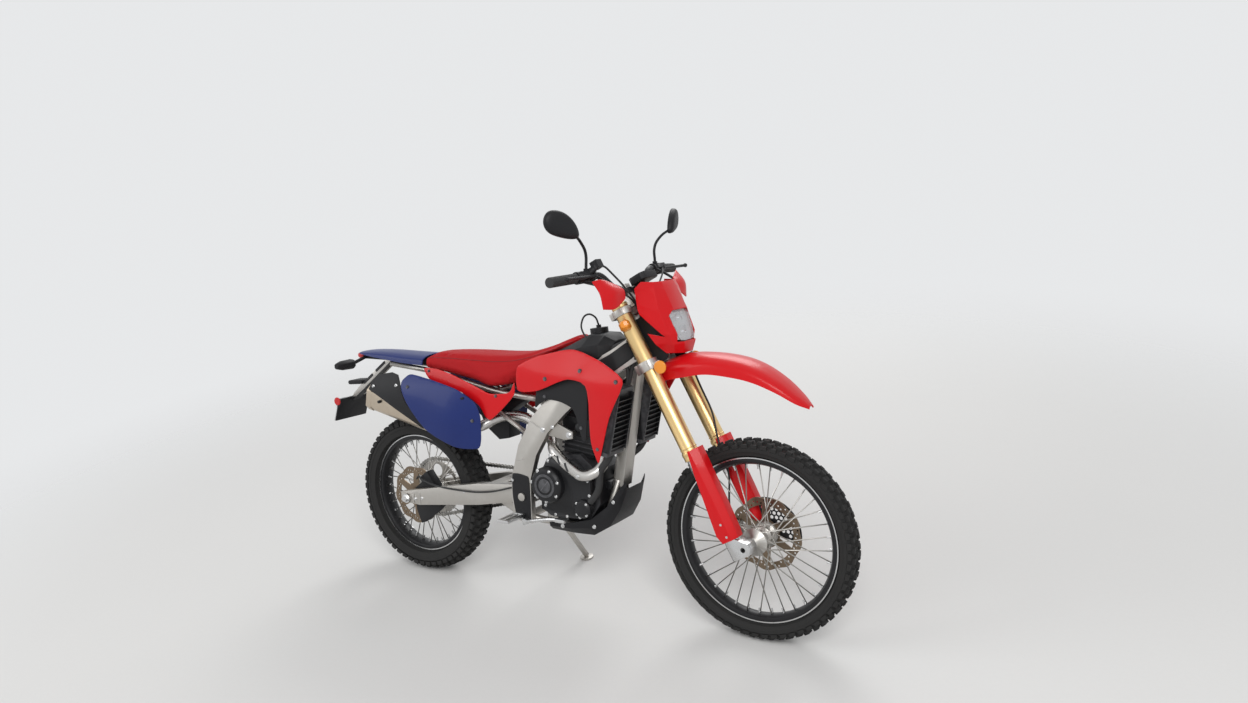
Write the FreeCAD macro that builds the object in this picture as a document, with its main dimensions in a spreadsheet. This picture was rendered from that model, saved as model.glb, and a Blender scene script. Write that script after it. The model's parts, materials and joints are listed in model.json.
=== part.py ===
import FreeCAD, Part
import math
import os
import Sketcher
from FreeCAD import Placement, Rotation, Vector

# A dual sport motorcycle: a twin-spar aluminium frame, a liquid-cooled single-cylinder engine,
# an upside-down fork, wire wheels, a chain drive and a high exhaust on the right-hand side.
# It stands parked, leaning to the left on its side stand, with the steering straight.
#
# Bike frame, in which every piece is drawn upright: x forwards from the rear axle, y to the
# rider's left, z up from the ground under the tyres.
# Fork frame: the bike frame moved to where the steering axis meets the ground and leaned back by
# the rake, so that its z runs up the steering axis and its x points ahead of that axis.

SIZES = [
    ("wheelbase", 1500.0, "rear axle to front axle"),
    ("rake", 28.5, "steering axis from the vertical, degrees"),
    ("clamp_offset", 24.0, "fork centre line ahead of the steering axis"),
    ("axle_lead", 31.0, "front axle ahead of the fork centre line"),
    ("lean", 10.5, "lean to the left on the side stand, degrees"),
    ("fit_gap", 0.25, "clearance between pieces that fit in each other"),
    ("front_tyre_r", 347.0, "front tyre, outer radius at the knobs"),
    ("front_tyre_w", 84.0, "front tyre, width"),
    ("rear_tyre_r", 325.0, "rear tyre, outer radius at the knobs"),
    ("rear_tyre_w", 118.0, "rear tyre, width"),
    ("front_pitches", 20.0, "front tyre, knobs in a row"),
    ("front_knob", 9.0, "front tyre, knob height"),
    ("rear_pitches", 19.0, "rear tyre, knobs in a row"),
    ("rear_knob", 12.0, "rear tyre, knob height"),
    ("front_rim_r", 285.0, "front rim, flange radius"),
    ("front_rim_w", 48.0, "front rim, width"),
    ("rear_rim_r", 244.0, "rear rim, flange radius"),
    ("rear_rim_w", 64.0, "rear rim, width"),
    ("rim_wall", 4.0, "rim flange thickness"),
    ("rim_seat_depth", 14.0, "bead seat below the flange"),
    ("rim_well_depth", 22.0, "rim well below the flange"),
    ("spoke_r", 2.0, "spoke radius"),
    ("hub_flange_r", 34.0, "hub flange radius"),
    ("hub_flange_y", 31.0, "hub flange from the wheel's middle"),
    ("hub_barrel_r", 22.0, "hub barrel radius"),
    ("front_axle_r", 12.5, "front axle radius"),
    ("front_axle_bore_r", 8.5, "bore through the front axle"),
    ("rear_axle_r", 12.5, "rear axle radius"),
    ("disc_t", 4.0, "brake disc thickness"),
    ("disc_y", 60.0, "brake disc's middle from the bike's middle"),
    ("front_disc_r", 130.0, "front brake disc radius"),
    ("rear_disc_r", 120.0, "rear brake disc radius"),
    ("disc_band", 30.0, "width of the disc's braking band"),
    ("disc_boss_r", 46.0, "disc boss radius on the hub"),
    ("fork_gap", 212.0, "fork centre line to centre line"),
    ("fork_outer_r", 28.0, "fork outer tube radius"),
    ("fork_inner_r", 24.5, "fork inner tube radius"),
    ("fork_outer_low", 700.0, "lower end of the fork outer tube, along the fork"),
    ("fork_outer_top", 1282.0, "top of the fork outer tube, along the fork"),
    ("lower_clamp_s", 1030.0, "lower clamp's underside, along the fork"),
    ("lower_clamp_t", 34.0, "lower clamp thickness"),
    ("upper_clamp_s", 1238.0, "upper clamp's underside, along the fork"),
    ("upper_clamp_t", 24.0, "upper clamp thickness"),
    ("stem_r", 15.0, "steering stem radius"),
    ("head_tube_r", 29.0, "frame head tube radius"),
    ("bar_r", 14.3, "handlebar radius at its clamps"),
    ("bar_clamp_s", 1322.0, "handlebar's middle, along the fork"),
    ("bar_clamp_f", 30.0, "handlebar's middle ahead of the steering axis"),
    ("bar_half", 405.0, "half the handlebar's width"),
    ("bar_end_s", 1398.0, "handlebar's end, along the fork"),
    ("bar_end_f", 9.0, "handlebar's end ahead of the steering axis"),
    ("bar_bend_y", 165.0, "handlebar's outer bend from the middle"),
    ("grip_r", 17.5, "grip radius"),
    ("grip_l", 122.0, "grip length"),
    ("guard_t", 4.0, "hand guard thickness"),
    ("pivot_x", 600.0, "swingarm pivot ahead of the rear axle"),
    ("pivot_z", 410.0, "swingarm pivot above the ground"),
    ("pivot_bolt_r", 9.0, "swingarm pivot bolt radius"),
    ("plate_in", 101.0, "frame pivot plate's inner face from the middle"),
    ("plate_out", 126.0, "frame pivot plate's outer face from the middle"),
    ("chain_y", 71.0, "chain line from the middle"),
    ("chain_pitch", 15.875, "chain pitch"),
    ("chain_roller_r", 5.0, "chain roller radius"),
    ("chain_link_h", 7.4, "half the height of a chain link plate"),
    ("chain_plate_t", 2.2, "chain link plate thickness"),
    ("chain_inner_w", 9.6, "width between the chain's plates"),
    ("rear_teeth", 48.0, "teeth on the rear sprocket"),
    ("front_teeth", 13.0, "teeth on the front sprocket"),
    ("sprocket_t", 6.0, "sprocket thickness"),
    ("front_sprocket_x", 694.0, "front sprocket ahead of the rear axle"),
    ("front_sprocket_z", 424.0, "front sprocket above the ground"),
    ("skin_t", 3.5, "thickness of the plastic panels"),
    ("stand_pivot_x", 556.0, "side stand pivot ahead of the rear axle"),
    ("stand_pivot_y", 142.0, "side stand pivot from the middle"),
    ("stand_pivot_z", 268.0, "side stand pivot above the ground"),
    ("stand_foot_x", 612.0, "side stand foot ahead of the rear axle"),
    ("stand_foot_y", 268.0, "side stand foot from the middle"),
    ("stand_foot_r", 27.0, "side stand foot radius"),
    ("stand_foot_t", 7.0, "side stand foot thickness"),
    ("stand_leg_r", 11.0, "side stand leg radius"),
    ("peg_x", 588.0, "foot peg ahead of the rear axle"),
    ("peg_z", 342.0, "foot peg above the ground"),
    ("peg_in", 134.0, "foot peg's inner end from the middle"),
    ("peg_l", 100.0, "foot peg length"),
    ("muffler_w", 92.0, "muffler width"),
    ("muffler_tall", 108.0, "muffler height"),
    ("muffler_y", 126.0, "muffler's middle from the bike's middle"),
    ("header_r", 20.0, "exhaust header radius"),
    ("lug_holes_r", 3.3, "radius of the number plate's holes"),
    ("plate_w", 178.0, "number plate width"),
    ("plate_tall", 104.0, "number plate height"),
    ("plate_t", 2.0, "number plate thickness"),
    ("plate_hole_gap", 146.0, "number plate holes, centre to centre"),
]


class Size(float):
    """A length that also knows the spreadsheet expression that it comes from."""

    def __new__(cls, value, words):
        made = super().__new__(cls, value)
        made.words = words
        return made

    @staticmethod
    def worded(value):
        return value.words if isinstance(value, Size) else repr(float(value))

    def joined(self, other, value, sign, turned=False):
        pair = (Size.worded(self), Size.worded(other))
        first, second = pair[::-1] if turned else pair
        return Size(value, f"({first} {sign} {second})")

    def __add__(self, other):
        return self.joined(other, float(self) + float(other), "+")

    def __radd__(self, other):
        return self.joined(other, float(other) + float(self), "+", True)

    def __sub__(self, other):
        return self.joined(other, float(self) - float(other), "-")

    def __rsub__(self, other):
        return self.joined(other, float(other) - float(self), "-", True)

    def __mul__(self, other):
        return self.joined(other, float(self) * float(other), "*")

    def __rmul__(self, other):
        return self.joined(other, float(other) * float(self), "*", True)

    def __truediv__(self, other):
        return self.joined(other, float(self) / float(other), "/")

    def __neg__(self):
        return Size(-float(self), f"(-{self.words})")


class Sheet:
    """The driving dimensions, one spreadsheet row each, read back as attributes."""

    def __init__(self, document, rows):
        cells = document.addObject("Spreadsheet::Sheet", "Sizes")
        for line, (alias, value, words) in enumerate(rows, start=1):
            cells.set(f"A{line}", words)
            cells.set(f"B{line}", str(value))
            cells.setAlias(f"B{line}", alias)
            setattr(self, alias, Size(value, f"Sizes.{alias}"))


doc = FreeCAD.newDocument("DualSportMotorcycle")
S = Sheet(doc, SIZES)
doc.recompute()

RAKE = math.radians(S.rake)
TRAIL = (S.front_tyre_r * math.sin(RAKE) - S.clamp_offset - S.axle_lead) / math.cos(RAKE)
HEAD_X = S.wheelbase + TRAIL
AXLE_S = TRAIL * math.sin(RAKE) + S.front_tyre_r * math.cos(RAKE)
AXLE_F = S.clamp_offset + S.axle_lead
FORK_FRAME = Placement(Vector(HEAD_X, 0, 0), Rotation(Vector(0, 1, 0), -S.rake))
FRONT_AXLE = Vector(S.wheelbase, 0, S.front_tyre_r)
REAR_AXLE = Vector(0, 0, S.rear_tyre_r)
UPRIGHT = Placement()

# Helpers.
pieces = []


def bind(thing, **values):
    """Sets properties, and ties each one that is a Size to its spreadsheet cell."""
    for name, value in values.items():
        setattr(thing, name, float(value))
        if isinstance(value, Size):
            thing.setExpression(name, value.words)
    return thing


def piece(thing, label, placement=UPRIGHT):
    """Registers a finished sub-part under the name of its node, with its place in the bike frame."""
    thing.Label = label
    pieces.append((thing, placement))
    return thing


def feature(label, shape, placement=UPRIGHT):
    """A sub-part whose shape is worked out here, placed in the bike frame."""
    thing = doc.addObject("Part::Feature", label)
    place = shape.Placement.toMatrix()
    shape = shape.copy()
    shape.Placement = UPRIGHT
    thing.Shape = shape.transformed(place, True)
    return piece(thing, label, placement)


def origin_plane(body, role):
    return next(f for f in body.Origin.OriginFeatures if f.Role == role)


def sketch(body, role, outlines, lift=0.0):
    """A sketch on one of the body's origin planes. An outline is a circle, ("circle", u, v, radius),
    or a list of corners (u, v); a corner (u, v, mid_u, mid_v) starts an arc through that middle point."""
    made = body.newObject("Sketcher::SketchObject", body.Name + "_sketch")
    made.AttachmentSupport = [(origin_plane(body, role), "")]
    made.MapMode = "FlatFace"
    made.AttachmentOffset = Placement(Vector(0, 0, lift), Rotation())
    pinned = []

    def pin(geometry, point, u, v):
        for kind, value in (("DistanceX", u), ("DistanceY", v)):
            constraint = Sketcher.Constraint(kind, -1, 1, geometry, point, float(value))
            number = made.addConstraint(constraint)
            if isinstance(value, Size):
                pinned.append((number, value.words))

    for outline in outlines:
        if outline[0] == "circle":
            _, u, v, radius = outline
            circle = made.addGeometry(Part.Circle(Vector(u, v, 0), Vector(0, 0, 1), float(radius)))
            pin(circle, 3, u, v)
            number = made.addConstraint(Sketcher.Constraint("Radius", circle, float(radius)))
            if isinstance(radius, Size):
                pinned.append((number, radius.words))
            continue
        for here, after in zip(outline, outline[1:] + outline[:1]):
            start, end = Vector(here[0], here[1], 0), Vector(after[0], after[1], 0)
            if len(here) == 2:
                line = made.addGeometry(Part.LineSegment(start, end))
                pin(line, 1, here[0], here[1])
                pin(line, 2, after[0], after[1])
            else:
                middle = Vector(here[2], here[3], 0)
                arc = Part.Arc(start, middle, end)
                curve = made.addGeometry(arc)
                first = 1 if made.getPoint(curve, 1).distanceToPoint(start) < 1e-6 else 2
                pin(curve, first, here[0], here[1])
                pin(curve, 3 - first, after[0], after[1])
                number = made.addConstraint(Sketcher.Constraint("Radius", curve, arc.toShape().Curve.Radius))
    for number, words in pinned:
        made.setExpression(f"Constraints[{number}]", words)
    return made


def new_body(label, placement=UPRIGHT):
    body = doc.addObject("PartDesign::Body", label)
    piece(body, label, placement)
    return body


def revolve(body, outlines):
    """Turns an outline of (y, radius) about the body's y axis."""
    turned = body.newObject("PartDesign::Revolution", body.Name + "_revolution")
    turned.Profile = sketch(body, "YZ_Plane", outlines)
    turned.ReferenceAxis = (turned.Profile[0], ["H_Axis"])
    turned.Angle = 360
    return turned


def pad(body, role, outlines, length, lift=0.0, kind="PartDesign::Pad", symmetric=False):
    """Extrudes outlines along the plane's normal, or both ways, as a pad or a pocket."""
    made = body.newObject(kind, body.Name + kind.split("::")[1])
    made.Profile = sketch(body, role, outlines, lift)
    bind(made, Length=length)
    made.SideType = "Symmetric" if symmetric else "One side"
    if kind.endswith("Pocket"):
        made.Reversed = True
    return made


def around(body, made, count, axis="Y_Axis"):
    """Repeats a feature evenly about one of the body's axes."""
    pattern = body.newObject("PartDesign::PolarPattern", body.Name + "_pattern")
    pattern.Originals = [made]
    pattern.Axis = (origin_plane(body, axis), [""])
    pattern.Angle = 360
    pattern.Occurrences = int(count)
    body.Tip = pattern
    return pattern


def polygon(points):
    return Part.makePolygon([*points, points[0]])


def side_plate(outline, y0, y1):
    """A plate with an outline of (x, z) in the side view, from y0 to y1."""
    wire = polygon([Vector(x, y0, z) for x, z in outline])
    return Part.Face(wire).extrude(Vector(0, y1 - y0, 0))


def box(x0, x1, y0, y1, z0, z1):
    return Part.makeBox(x1 - x0, y1 - y0, z1 - z0, Vector(x0, y0, z0))


def placed_box(placement, *limits):
    """A box given by its limits in another frame."""
    made = box(*limits)
    made.Placement = placement.multiply(made.Placement)
    return made


def rod(start, end, radius):
    way = end - start
    return Part.makeCylinder(radius, way.Length, start, way)


def cross_rod(x, z, radius, y0, y1):
    """A rod across the bike."""
    return Part.makeCylinder(radius, y1 - y0, Vector(x, y0, z), Vector(0, 1, 0))


def bent_path(points, share=0.45):
    """Straight runs joined by tangent arcs, each as large as its two runs allow."""
    edges, here = [], points[0]
    for before, corner, after in zip(points, points[1:], points[2:]):
        back, ahead = before - corner, after - corner
        turn = math.pi - back.getAngle(ahead)
        cut = share * min(back.Length, ahead.Length)
        start = corner + back.normalize() * cut
        end = corner + ahead.normalize() * cut
        radius = cut / math.tan(turn / 2)
        centre_way = (back + ahead).normalize()
        centre = corner + centre_way * (radius / math.cos(turn / 2))
        edges.append(Part.LineSegment(here, start).toShape())
        edges.append(Part.Arc(start, centre - centre_way * radius, end).toShape())
        here = end
    edges.append(Part.LineSegment(here, points[-1]).toShape())
    return Part.Wire(edges)


def bent_tube(points, radius, share=0.45):
    """A round tube or hose along straight runs and tangent arcs."""
    points = [Vector(*p) for p in points]
    path = bent_path(points, share)
    ring = Part.Wire(Part.makeCircle(radius, points[0], points[1] - points[0]))
    return path.makePipeShell([ring], True, False)


def ruled(sections):
    """A solid through closed sections that all have as many corners."""
    return Part.makeLoft([polygon(section) for section in sections], True, True)


def inset(outline, thickness):
    """An open outline of (u, v) moved to its right-hand side by a thickness."""
    moved = []
    for index, (u, v) in enumerate(outline):
        before = outline[max(index - 1, 0)]
        after = outline[min(index + 1, len(outline) - 1)]
        du, dv = after[0] - before[0], after[1] - before[1]
        length = math.hypot(du, dv)
        moved.append((u + dv / length * thickness, v - du / length * thickness))
    return moved


def channel(sections, thickness):
    """A thin open shell through sections (x, [(y, z), ...]), its wall on the right of each outline."""
    rings = []
    for x, outline in sections:
        loop = list(outline) + inset(outline, thickness)[::-1]
        rings.append([Vector(x, y, z) for y, z in loop])
    return ruled(rings)


def skin(stations, heights, table, outline, thickness):
    """A curved side panel: its outer face is at y from the table, by station x and height z, and it
    is cut to an outline of (x, z). The wall lies on the inner side, towards the bike's middle."""
    inward = -thickness if table[0][0] > 0 else thickness
    rings = []
    for x, row in zip(stations, table):
        outer = [Vector(x, y, z) for y, z in zip(row, heights)]
        inner = [Vector(x, y + inward, z) for y, z in zip(row, heights)]
        rings.append(outer + inner[::-1])
    reach = max(abs(y) for row in table for y in row) + thickness
    return ruled(rings).common(side_plate(outline, -reach, reach))


def panel_y(stations, heights, table, x, z):
    """How far out a side panel's outer face lies at a station and a height."""
    column = max(n for n, at in enumerate(stations[:-1]) if at <= x)
    line = max(n for n, at in enumerate(heights[:-1]) if at <= z)
    along = (x - stations[column]) / (stations[column + 1] - stations[column])
    up = (z - heights[line]) / (heights[line + 1] - heights[line])
    low = table[column][line] * (1 - along) + table[column + 1][line] * along
    high = table[column][line + 1] * (1 - along) + table[column + 1][line + 1] * along
    return low * (1 - up) + high * up


def panel_posts(stations, heights, table, spots):
    """Posts from a panel's wall inwards to what carries it, one for each spot (x, z, inner y)."""
    side = 1 if table[0][0] > 0 else -1
    posts = []
    for x, z, inner_y in spots:
        wall_y = abs(panel_y(stations, heights, table, x, z)) - 2.5
        posts.append(rod(Vector(x, side * inner_y, z), Vector(x, side * wall_y, z), 6))
    return posts


def closed_solid(faces):
    """A solid inside flat faces that meet edge to edge."""
    shell = Part.makeShell(faces)
    shell.sewShape()
    solid = Part.makeSolid(shell)
    return solid.reversed() if solid.Volume < 0 else solid


def folded_plate(corners, triangles, back):
    """A plate folded along the edges of its triangles of numbered corners, its thickness given by a vector."""
    rear = [corner + back for corner in corners]
    faces = [Part.Face(polygon([side[n] for n in triangle])) for triangle in triangles for side in (corners, rear)]
    edges = [pair for a, b, c in triangles for pair in ((a, b), (b, c), (c, a))]
    rim_edges = [(a, b) for a, b in edges if (b, a) not in edges]
    faces += [Part.Face(polygon([corners[a], corners[b], rear[b], rear[a]])) for a, b in rim_edges]
    return closed_solid(faces)


def mirrored(shape):
    return shape.mirror(Vector(0, 0, 0), Vector(0, 1, 0))


def both_sides(shape):
    """The shape and its mirror image, as two solids in one node."""
    return Part.makeCompound([shape, mirrored(shape)])


def fused(*shapes):
    return shapes[0].multiFuse(list(shapes[1:])).removeSplitter()


def rounded(half_u, half_v, radius):
    """Corners and arcs of a rounded rectangle, as (u, v) points of a polygon, eight sides."""
    cut = radius * 0.6
    return [(half_u, -half_v + cut), (half_u, half_v - cut), (half_u - cut, half_v), (-half_u + cut, half_v),
            (-half_u, half_v - cut), (-half_u, -half_v + cut), (-half_u + cut, -half_v), (half_u - cut, -half_v)]


# Wheels.
def tyre(label, centre, outer_r, width, rim_r, rim_w, pitches, depth):
    """A knobby tyre of flat facets: a middle row of knobs, and shoulder rows half a pitch on from it."""
    cells = int(2 * pitches)
    step = 2 * math.pi / cells
    true = 1 / math.cos(step / 2)
    bead_y = rim_w / 2 - S.rim_wall - S.fit_gap
    seat_r, lip_r = (rim_r - S.rim_seat_depth + S.fit_gap) * true, (rim_r + 3) * true
    wide, belly_r = width / 2, rim_r + (outer_r - rim_r) * 0.45
    middle, inner, outer = 0.17 * width, 0.24 * width, 0.44 * width
    crown = {y: outer_r - 0.2 * width * (y / outer) ** 2 for y in (middle, inner, outer)}
    low = {y: r - depth for y, r in crown.items()}
    beads = [(wide, belly_r), (bead_y, lip_r), (bead_y, seat_r)]
    middle_up = [(middle, crown[middle]), (middle, low[middle]), (inner, low[inner]), (outer, low[outer])] + beads
    ridge = (0.0, float(outer_r))
    shoulder_up = [(middle, low[middle]), (inner, low[inner]), (inner, crown[inner]), (outer, crown[outer])] + beads
    walls = [[(-middle, low[middle]), (-middle, crown[middle]), ridge, (middle, crown[middle]), (middle, low[middle])]]
    walls += [[(side * y, r) for y, r in ((inner, low[inner]), (inner, crown[inner]), (outer, crown[outer]),
                                          (wide, belly_r), (outer, low[outer]))] for side in (-1, 1)]

    def spot(line, y, r):
        return Vector(r * math.cos(step * line), y, r * math.sin(step * line))

    faces = []
    for cell in range(cells):
        half = shoulder_up if cell % 2 else middle_up
        section = half + [(-y, r) for y, r in half[::-1]] + ([] if cell % 2 else [ridge])
        for (y0, r0), (y1, r1) in zip(section, section[1:] + section[:1]):
            corners = [spot(cell, y0, r0), spot(cell, y1, r1), spot(cell + 1, y1, r1), spot(cell + 1, y0, r0)]
            faces.append(Part.Face(polygon(corners)))
        faces += [Part.Face(polygon([spot(cell, y, r) for y, r in wall])) for wall in walls]
    return feature(label, closed_solid(faces), Placement(centre, Rotation()))


def rim(label, centre, rim_r, rim_w):
    """A drop-centre rim: flanges, bead seats and a well."""
    half, wall = rim_w / 2, S.rim_wall
    seat, well = rim_r - S.rim_seat_depth, rim_r - S.rim_well_depth
    body = new_body(label, Placement(centre, Rotation()))
    revolve(body, [[
        (-half, rim_r), (-half + wall, rim_r), (-half + wall, seat), (-half * 0.45, seat), (-half * 0.3, well),
        (half * 0.3, well), (half * 0.45, seat), (half - wall, seat), (half - wall, rim_r), (half, rim_r),
        (half, seat - wall), (half * 0.4, well - wall), (-half * 0.4, well - wall), (-half, seat - wall)]])
    return body


def hub(label, centre, axle_r, rim_r, left_end, right_end, left_boss, right_boss):
    """A hub with two spoke flanges, a boss for what bolts to each side, and 36 laced spokes."""
    flange, barrel = S.hub_flange_r, S.hub_barrel_r
    flange_y, half_t = float(S.hub_flange_y), 4.0
    profile = [
        (-right_end, axle_r + S.fit_gap), (-right_end, 18.0), (-right_boss, 18.0), (-right_boss, S.disc_boss_r),
        (-right_boss + 8, S.disc_boss_r), (-flange_y - half_t, barrel), (-flange_y - half_t, flange),
        (-flange_y + half_t, flange), (-flange_y + half_t + 6, barrel), (flange_y - half_t - 6, barrel),
        (flange_y - half_t, flange), (flange_y + half_t, flange), (flange_y + half_t, barrel),
        (left_boss - 8, S.disc_boss_r), (left_boss, S.disc_boss_r), (left_boss, 18.0), (left_end, 18.0),
        (left_end, axle_r + S.fit_gap)]
    wire = polygon([Vector(0, y, r) for y, r in profile])
    barrel_solid = Part.Face(wire).revolve(Vector(0, 0, 0), Vector(0, 1, 0), 360)
    rim_in = rim_r - S.rim_well_depth - S.rim_wall - 0.8
    spokes = []
    for number in range(36):
        side = 1 if number % 2 else -1
        leading = 1 if (number // 2) % 2 else -1
        at_rim = math.radians(number * 10)
        at_hub = at_rim + leading * math.radians(62)
        hub_r = flange - 4
        start = Vector(hub_r * math.cos(at_hub), side * (flange_y + leading * 1.3), hub_r * math.sin(at_hub))
        end = Vector(rim_in * math.cos(at_rim), side * 5.0, rim_in * math.sin(at_rim))
        spokes.append(rod(start, end, S.spoke_r))
    return feature(label, fused(barrel_solid, *spokes), Placement(centre, Rotation()))


def disc(label, centre, outer_r, y):
    """A brake disc: a drilled band with a wavy edge on six arms, bolted to the hub's boss."""
    body = new_body(label, Placement(centre + Vector(0, y, 0), Rotation()))
    band_in = outer_r - S.disc_band
    waves, wave_t = 9, 7.0

    def at(radius, turn):
        return radius * math.cos(turn), radius * math.sin(turn)

    edge = []
    for half_wave in range(2 * waves):
        turn = math.pi * half_wave / waves
        reach = float(outer_r) if half_wave % 2 else outer_r - wave_t
        edge.append((*at(outer_r - wave_t / 2, turn), *at(reach, turn + math.pi / waves / 2)))
    pad(body, "XZ_Plane", [edge, ("circle", 0, 0, S.disc_boss_r - 22)], S.disc_t, symmetric=True)
    holes = [("circle", *at(band_in + 7 + 5 * n, 2 * math.pi / 18 * n / 3), 3.4) for n in range(3)]
    drilled = pad(body, "XZ_Plane", holes, S.disc_t * 3, kind="PartDesign::Pocket", symmetric=True)
    around(body, drilled, 18)
    half_arm = math.radians(12)
    low, high = S.disc_boss_r + 4, band_in
    window = [
        (low * math.cos(half_arm), -low * math.sin(half_arm), low, 0),
        (low * math.cos(half_arm), low * math.sin(half_arm)),
        (high * math.cos(math.radians(22)), high * math.sin(math.radians(22)), high, 0),
        (high * math.cos(math.radians(22)), -high * math.sin(math.radians(22)))]
    cut = pad(body, "XZ_Plane", [window], S.disc_t * 3, kind="PartDesign::Pocket", symmetric=True)
    around(body, cut, 6)
    return body


def toothed_disc(teeth):
    """A disc whose teeth stop just short of the chain's rollers, and the radius of its root."""
    pitch_r = S.chain_pitch / (2 * math.sin(math.pi / teeth))
    tip = pitch_r - S.chain_roller_r - 0.8
    root = tip - 4.5
    outline = []
    for number in range(int(teeth)):
        for share, radius in ((0.0, root), (0.18, root), (0.38, tip), (0.62, tip), (0.82, root)):
            turn = 2 * math.pi * (number + share) / teeth
            outline.append(Vector(radius * math.cos(turn), 0, radius * math.sin(turn)))
    return Part.Face(polygon(outline)).extrude(Vector(0, S.sprocket_t, 0)), root


def sprocket(label, centre, teeth, y):
    """A toothed ring on six arms."""
    ring, root = toothed_disc(teeth)
    cuts = [cross_rod(0, 0, S.disc_boss_r - 22, -1, S.sprocket_t + 1)]
    middle = (root - 12 + S.disc_boss_r) / 2
    reach = (root - 12 - S.disc_boss_r) / 2
    for number in range(6):
        turn = math.radians(60 * number + 30)
        cuts.append(cross_rod(middle * math.cos(turn), middle * math.sin(turn), reach, -1, S.sprocket_t + 1))
    made = ring.cut(Part.makeCompound(cuts))
    return feature(label, made, Placement(centre + Vector(0, y - S.sprocket_t / 2, 0), Rotation()))


tyre("front_tyre", FRONT_AXLE, S.front_tyre_r, S.front_tyre_w, S.front_rim_r, S.front_rim_w, S.front_pitches,
     S.front_knob)
rim("front_rim", FRONT_AXLE, S.front_rim_r, S.front_rim_w)
lug_in = S.fork_gap / 2 - S.fork_outer_r - 2
front_boss = S.disc_y - S.disc_t / 2
hub("front_hub", FRONT_AXLE, S.front_axle_r, S.front_rim_r, lug_in - 1, lug_in - 1, front_boss, 44.0)
disc("front_disc", FRONT_AXLE, S.front_disc_r, S.disc_y)

tyre("rear_tyre", REAR_AXLE, S.rear_tyre_r, S.rear_tyre_w, S.rear_rim_r, S.rear_rim_w, S.rear_pitches, S.rear_knob)
rim("rear_rim", REAR_AXLE, S.rear_rim_r, S.rear_rim_w)
rear_sprocket_in = S.chain_y - S.sprocket_t / 2
arm_in = 84.0
hub("rear_hub", REAR_AXLE, S.rear_axle_r, S.rear_rim_r, arm_in - 2, arm_in - 2, rear_sprocket_in, front_boss)
disc("rear_disc", REAR_AXLE, S.rear_disc_r, -S.disc_y)
sprocket("rear_sprocket", REAR_AXLE, S.rear_teeth, S.chain_y)


# Chain.
def chain():
    """One closed loop of link plates on rollers, round both sprockets, fixed in place."""
    rear_r = S.chain_pitch / (2 * math.sin(math.pi / S.rear_teeth))
    front_r = S.chain_pitch / (2 * math.sin(math.pi / S.front_teeth))
    rear, front = Vector(0, 0, S.rear_tyre_r), Vector(S.front_sprocket_x, 0, S.front_sprocket_z)
    way = front - rear
    slope, taper = math.atan2(way.z, way.x), math.asin((rear_r - front_r) / way.Length)
    straight = way.Length * math.cos(taper)
    rear_wrap, front_wrap = math.pi + 2 * taper, math.pi - 2 * taper
    length = 2 * straight + rear_r * rear_wrap + front_r * front_wrap
    links = 2 * round(length / S.chain_pitch / 2)
    top_turn = math.pi / 2 + slope - taper

    def on_loop(distance):
        """The point and outward direction at a distance along the loop, from the top run's rear end."""
        if distance < straight:
            out = top_turn
            spot = rear + Vector(math.cos(out), 0, math.sin(out)) * rear_r
            return spot + Vector(math.sin(out), 0, -math.cos(out)) * distance, out
        distance -= straight
        if distance < front_r * front_wrap:
            out = top_turn - distance / front_r
            return front + Vector(math.cos(out), 0, math.sin(out)) * front_r, out
        distance -= front_r * front_wrap
        low_turn = top_turn - front_wrap
        if distance < straight:
            spot = front + Vector(math.cos(low_turn), 0, math.sin(low_turn)) * front_r
            return spot + Vector(math.sin(low_turn), 0, -math.cos(low_turn)) * distance, low_turn
        out = low_turn - (distance - straight) / rear_r
        return rear + Vector(math.cos(out), 0, math.sin(out)) * rear_r, out

    pins = [on_loop(length * number / links) for number in range(links)]
    ends = [0.0, straight, straight + front_r * front_wrap, 2 * straight + front_r * front_wrap]
    bends = [length * number / links for number in range(links)]
    bends = [at for at in bends if ends[1] < at < ends[2] or at > ends[3]]

    def edge(side):
        """The edge of the link plates outside or inside the loop, with corners only round the sprockets."""
        points = []
        for spot, out in map(on_loop, sorted(ends + bends)):
            points.append(spot + Vector(math.cos(out), 0, math.sin(out)) * side * S.chain_link_h)
        return points

    band = Part.Face(polygon(edge(1))).cut(Part.Face(polygon(edge(-1))))
    half_w, high, along = S.chain_inner_w / 2, float(S.chain_roller_r), S.chain_roller_r * 0.8
    plates = [band.translated(Vector(0, y, 0)).extrude(Vector(0, S.chain_plate_t, 0))
              for y in (-half_w - S.chain_plate_t, half_w)]
    rollers = []
    for spot, out in pins:
        roller = box(-high, high, -half_w, half_w, -along, along)
        roller.Placement = Placement(spot, Rotation(Vector(0, 1, 0), -math.degrees(out)))
        rollers.append(roller)
    return plates[0].multiFuse([plates[1], *rollers])


feature("chain", chain(), Placement(Vector(0, S.chain_y, 0), Rotation()))


REAR_CROWN_R = 68.9


def stand_directions():
    """Where the stand's leg points when it is down and when it is folded up, and the axis between."""
    tilt = math.radians(S.lean)
    ground = S.stand_foot_y * math.tan(tilt) - REAR_CROWN_R * (1 - math.cos(tilt)) / math.cos(tilt)
    foot = Vector(S.stand_foot_x, S.stand_foot_y, ground)
    pivot = Vector(S.stand_pivot_x, S.stand_pivot_y, S.stand_pivot_z)
    down = (foot - pivot)
    folded = Vector(-0.985, 0.11, 0.04).normalize()
    axis = down.cross(folded).normalize()
    return pivot, foot, down, folded, axis


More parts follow.
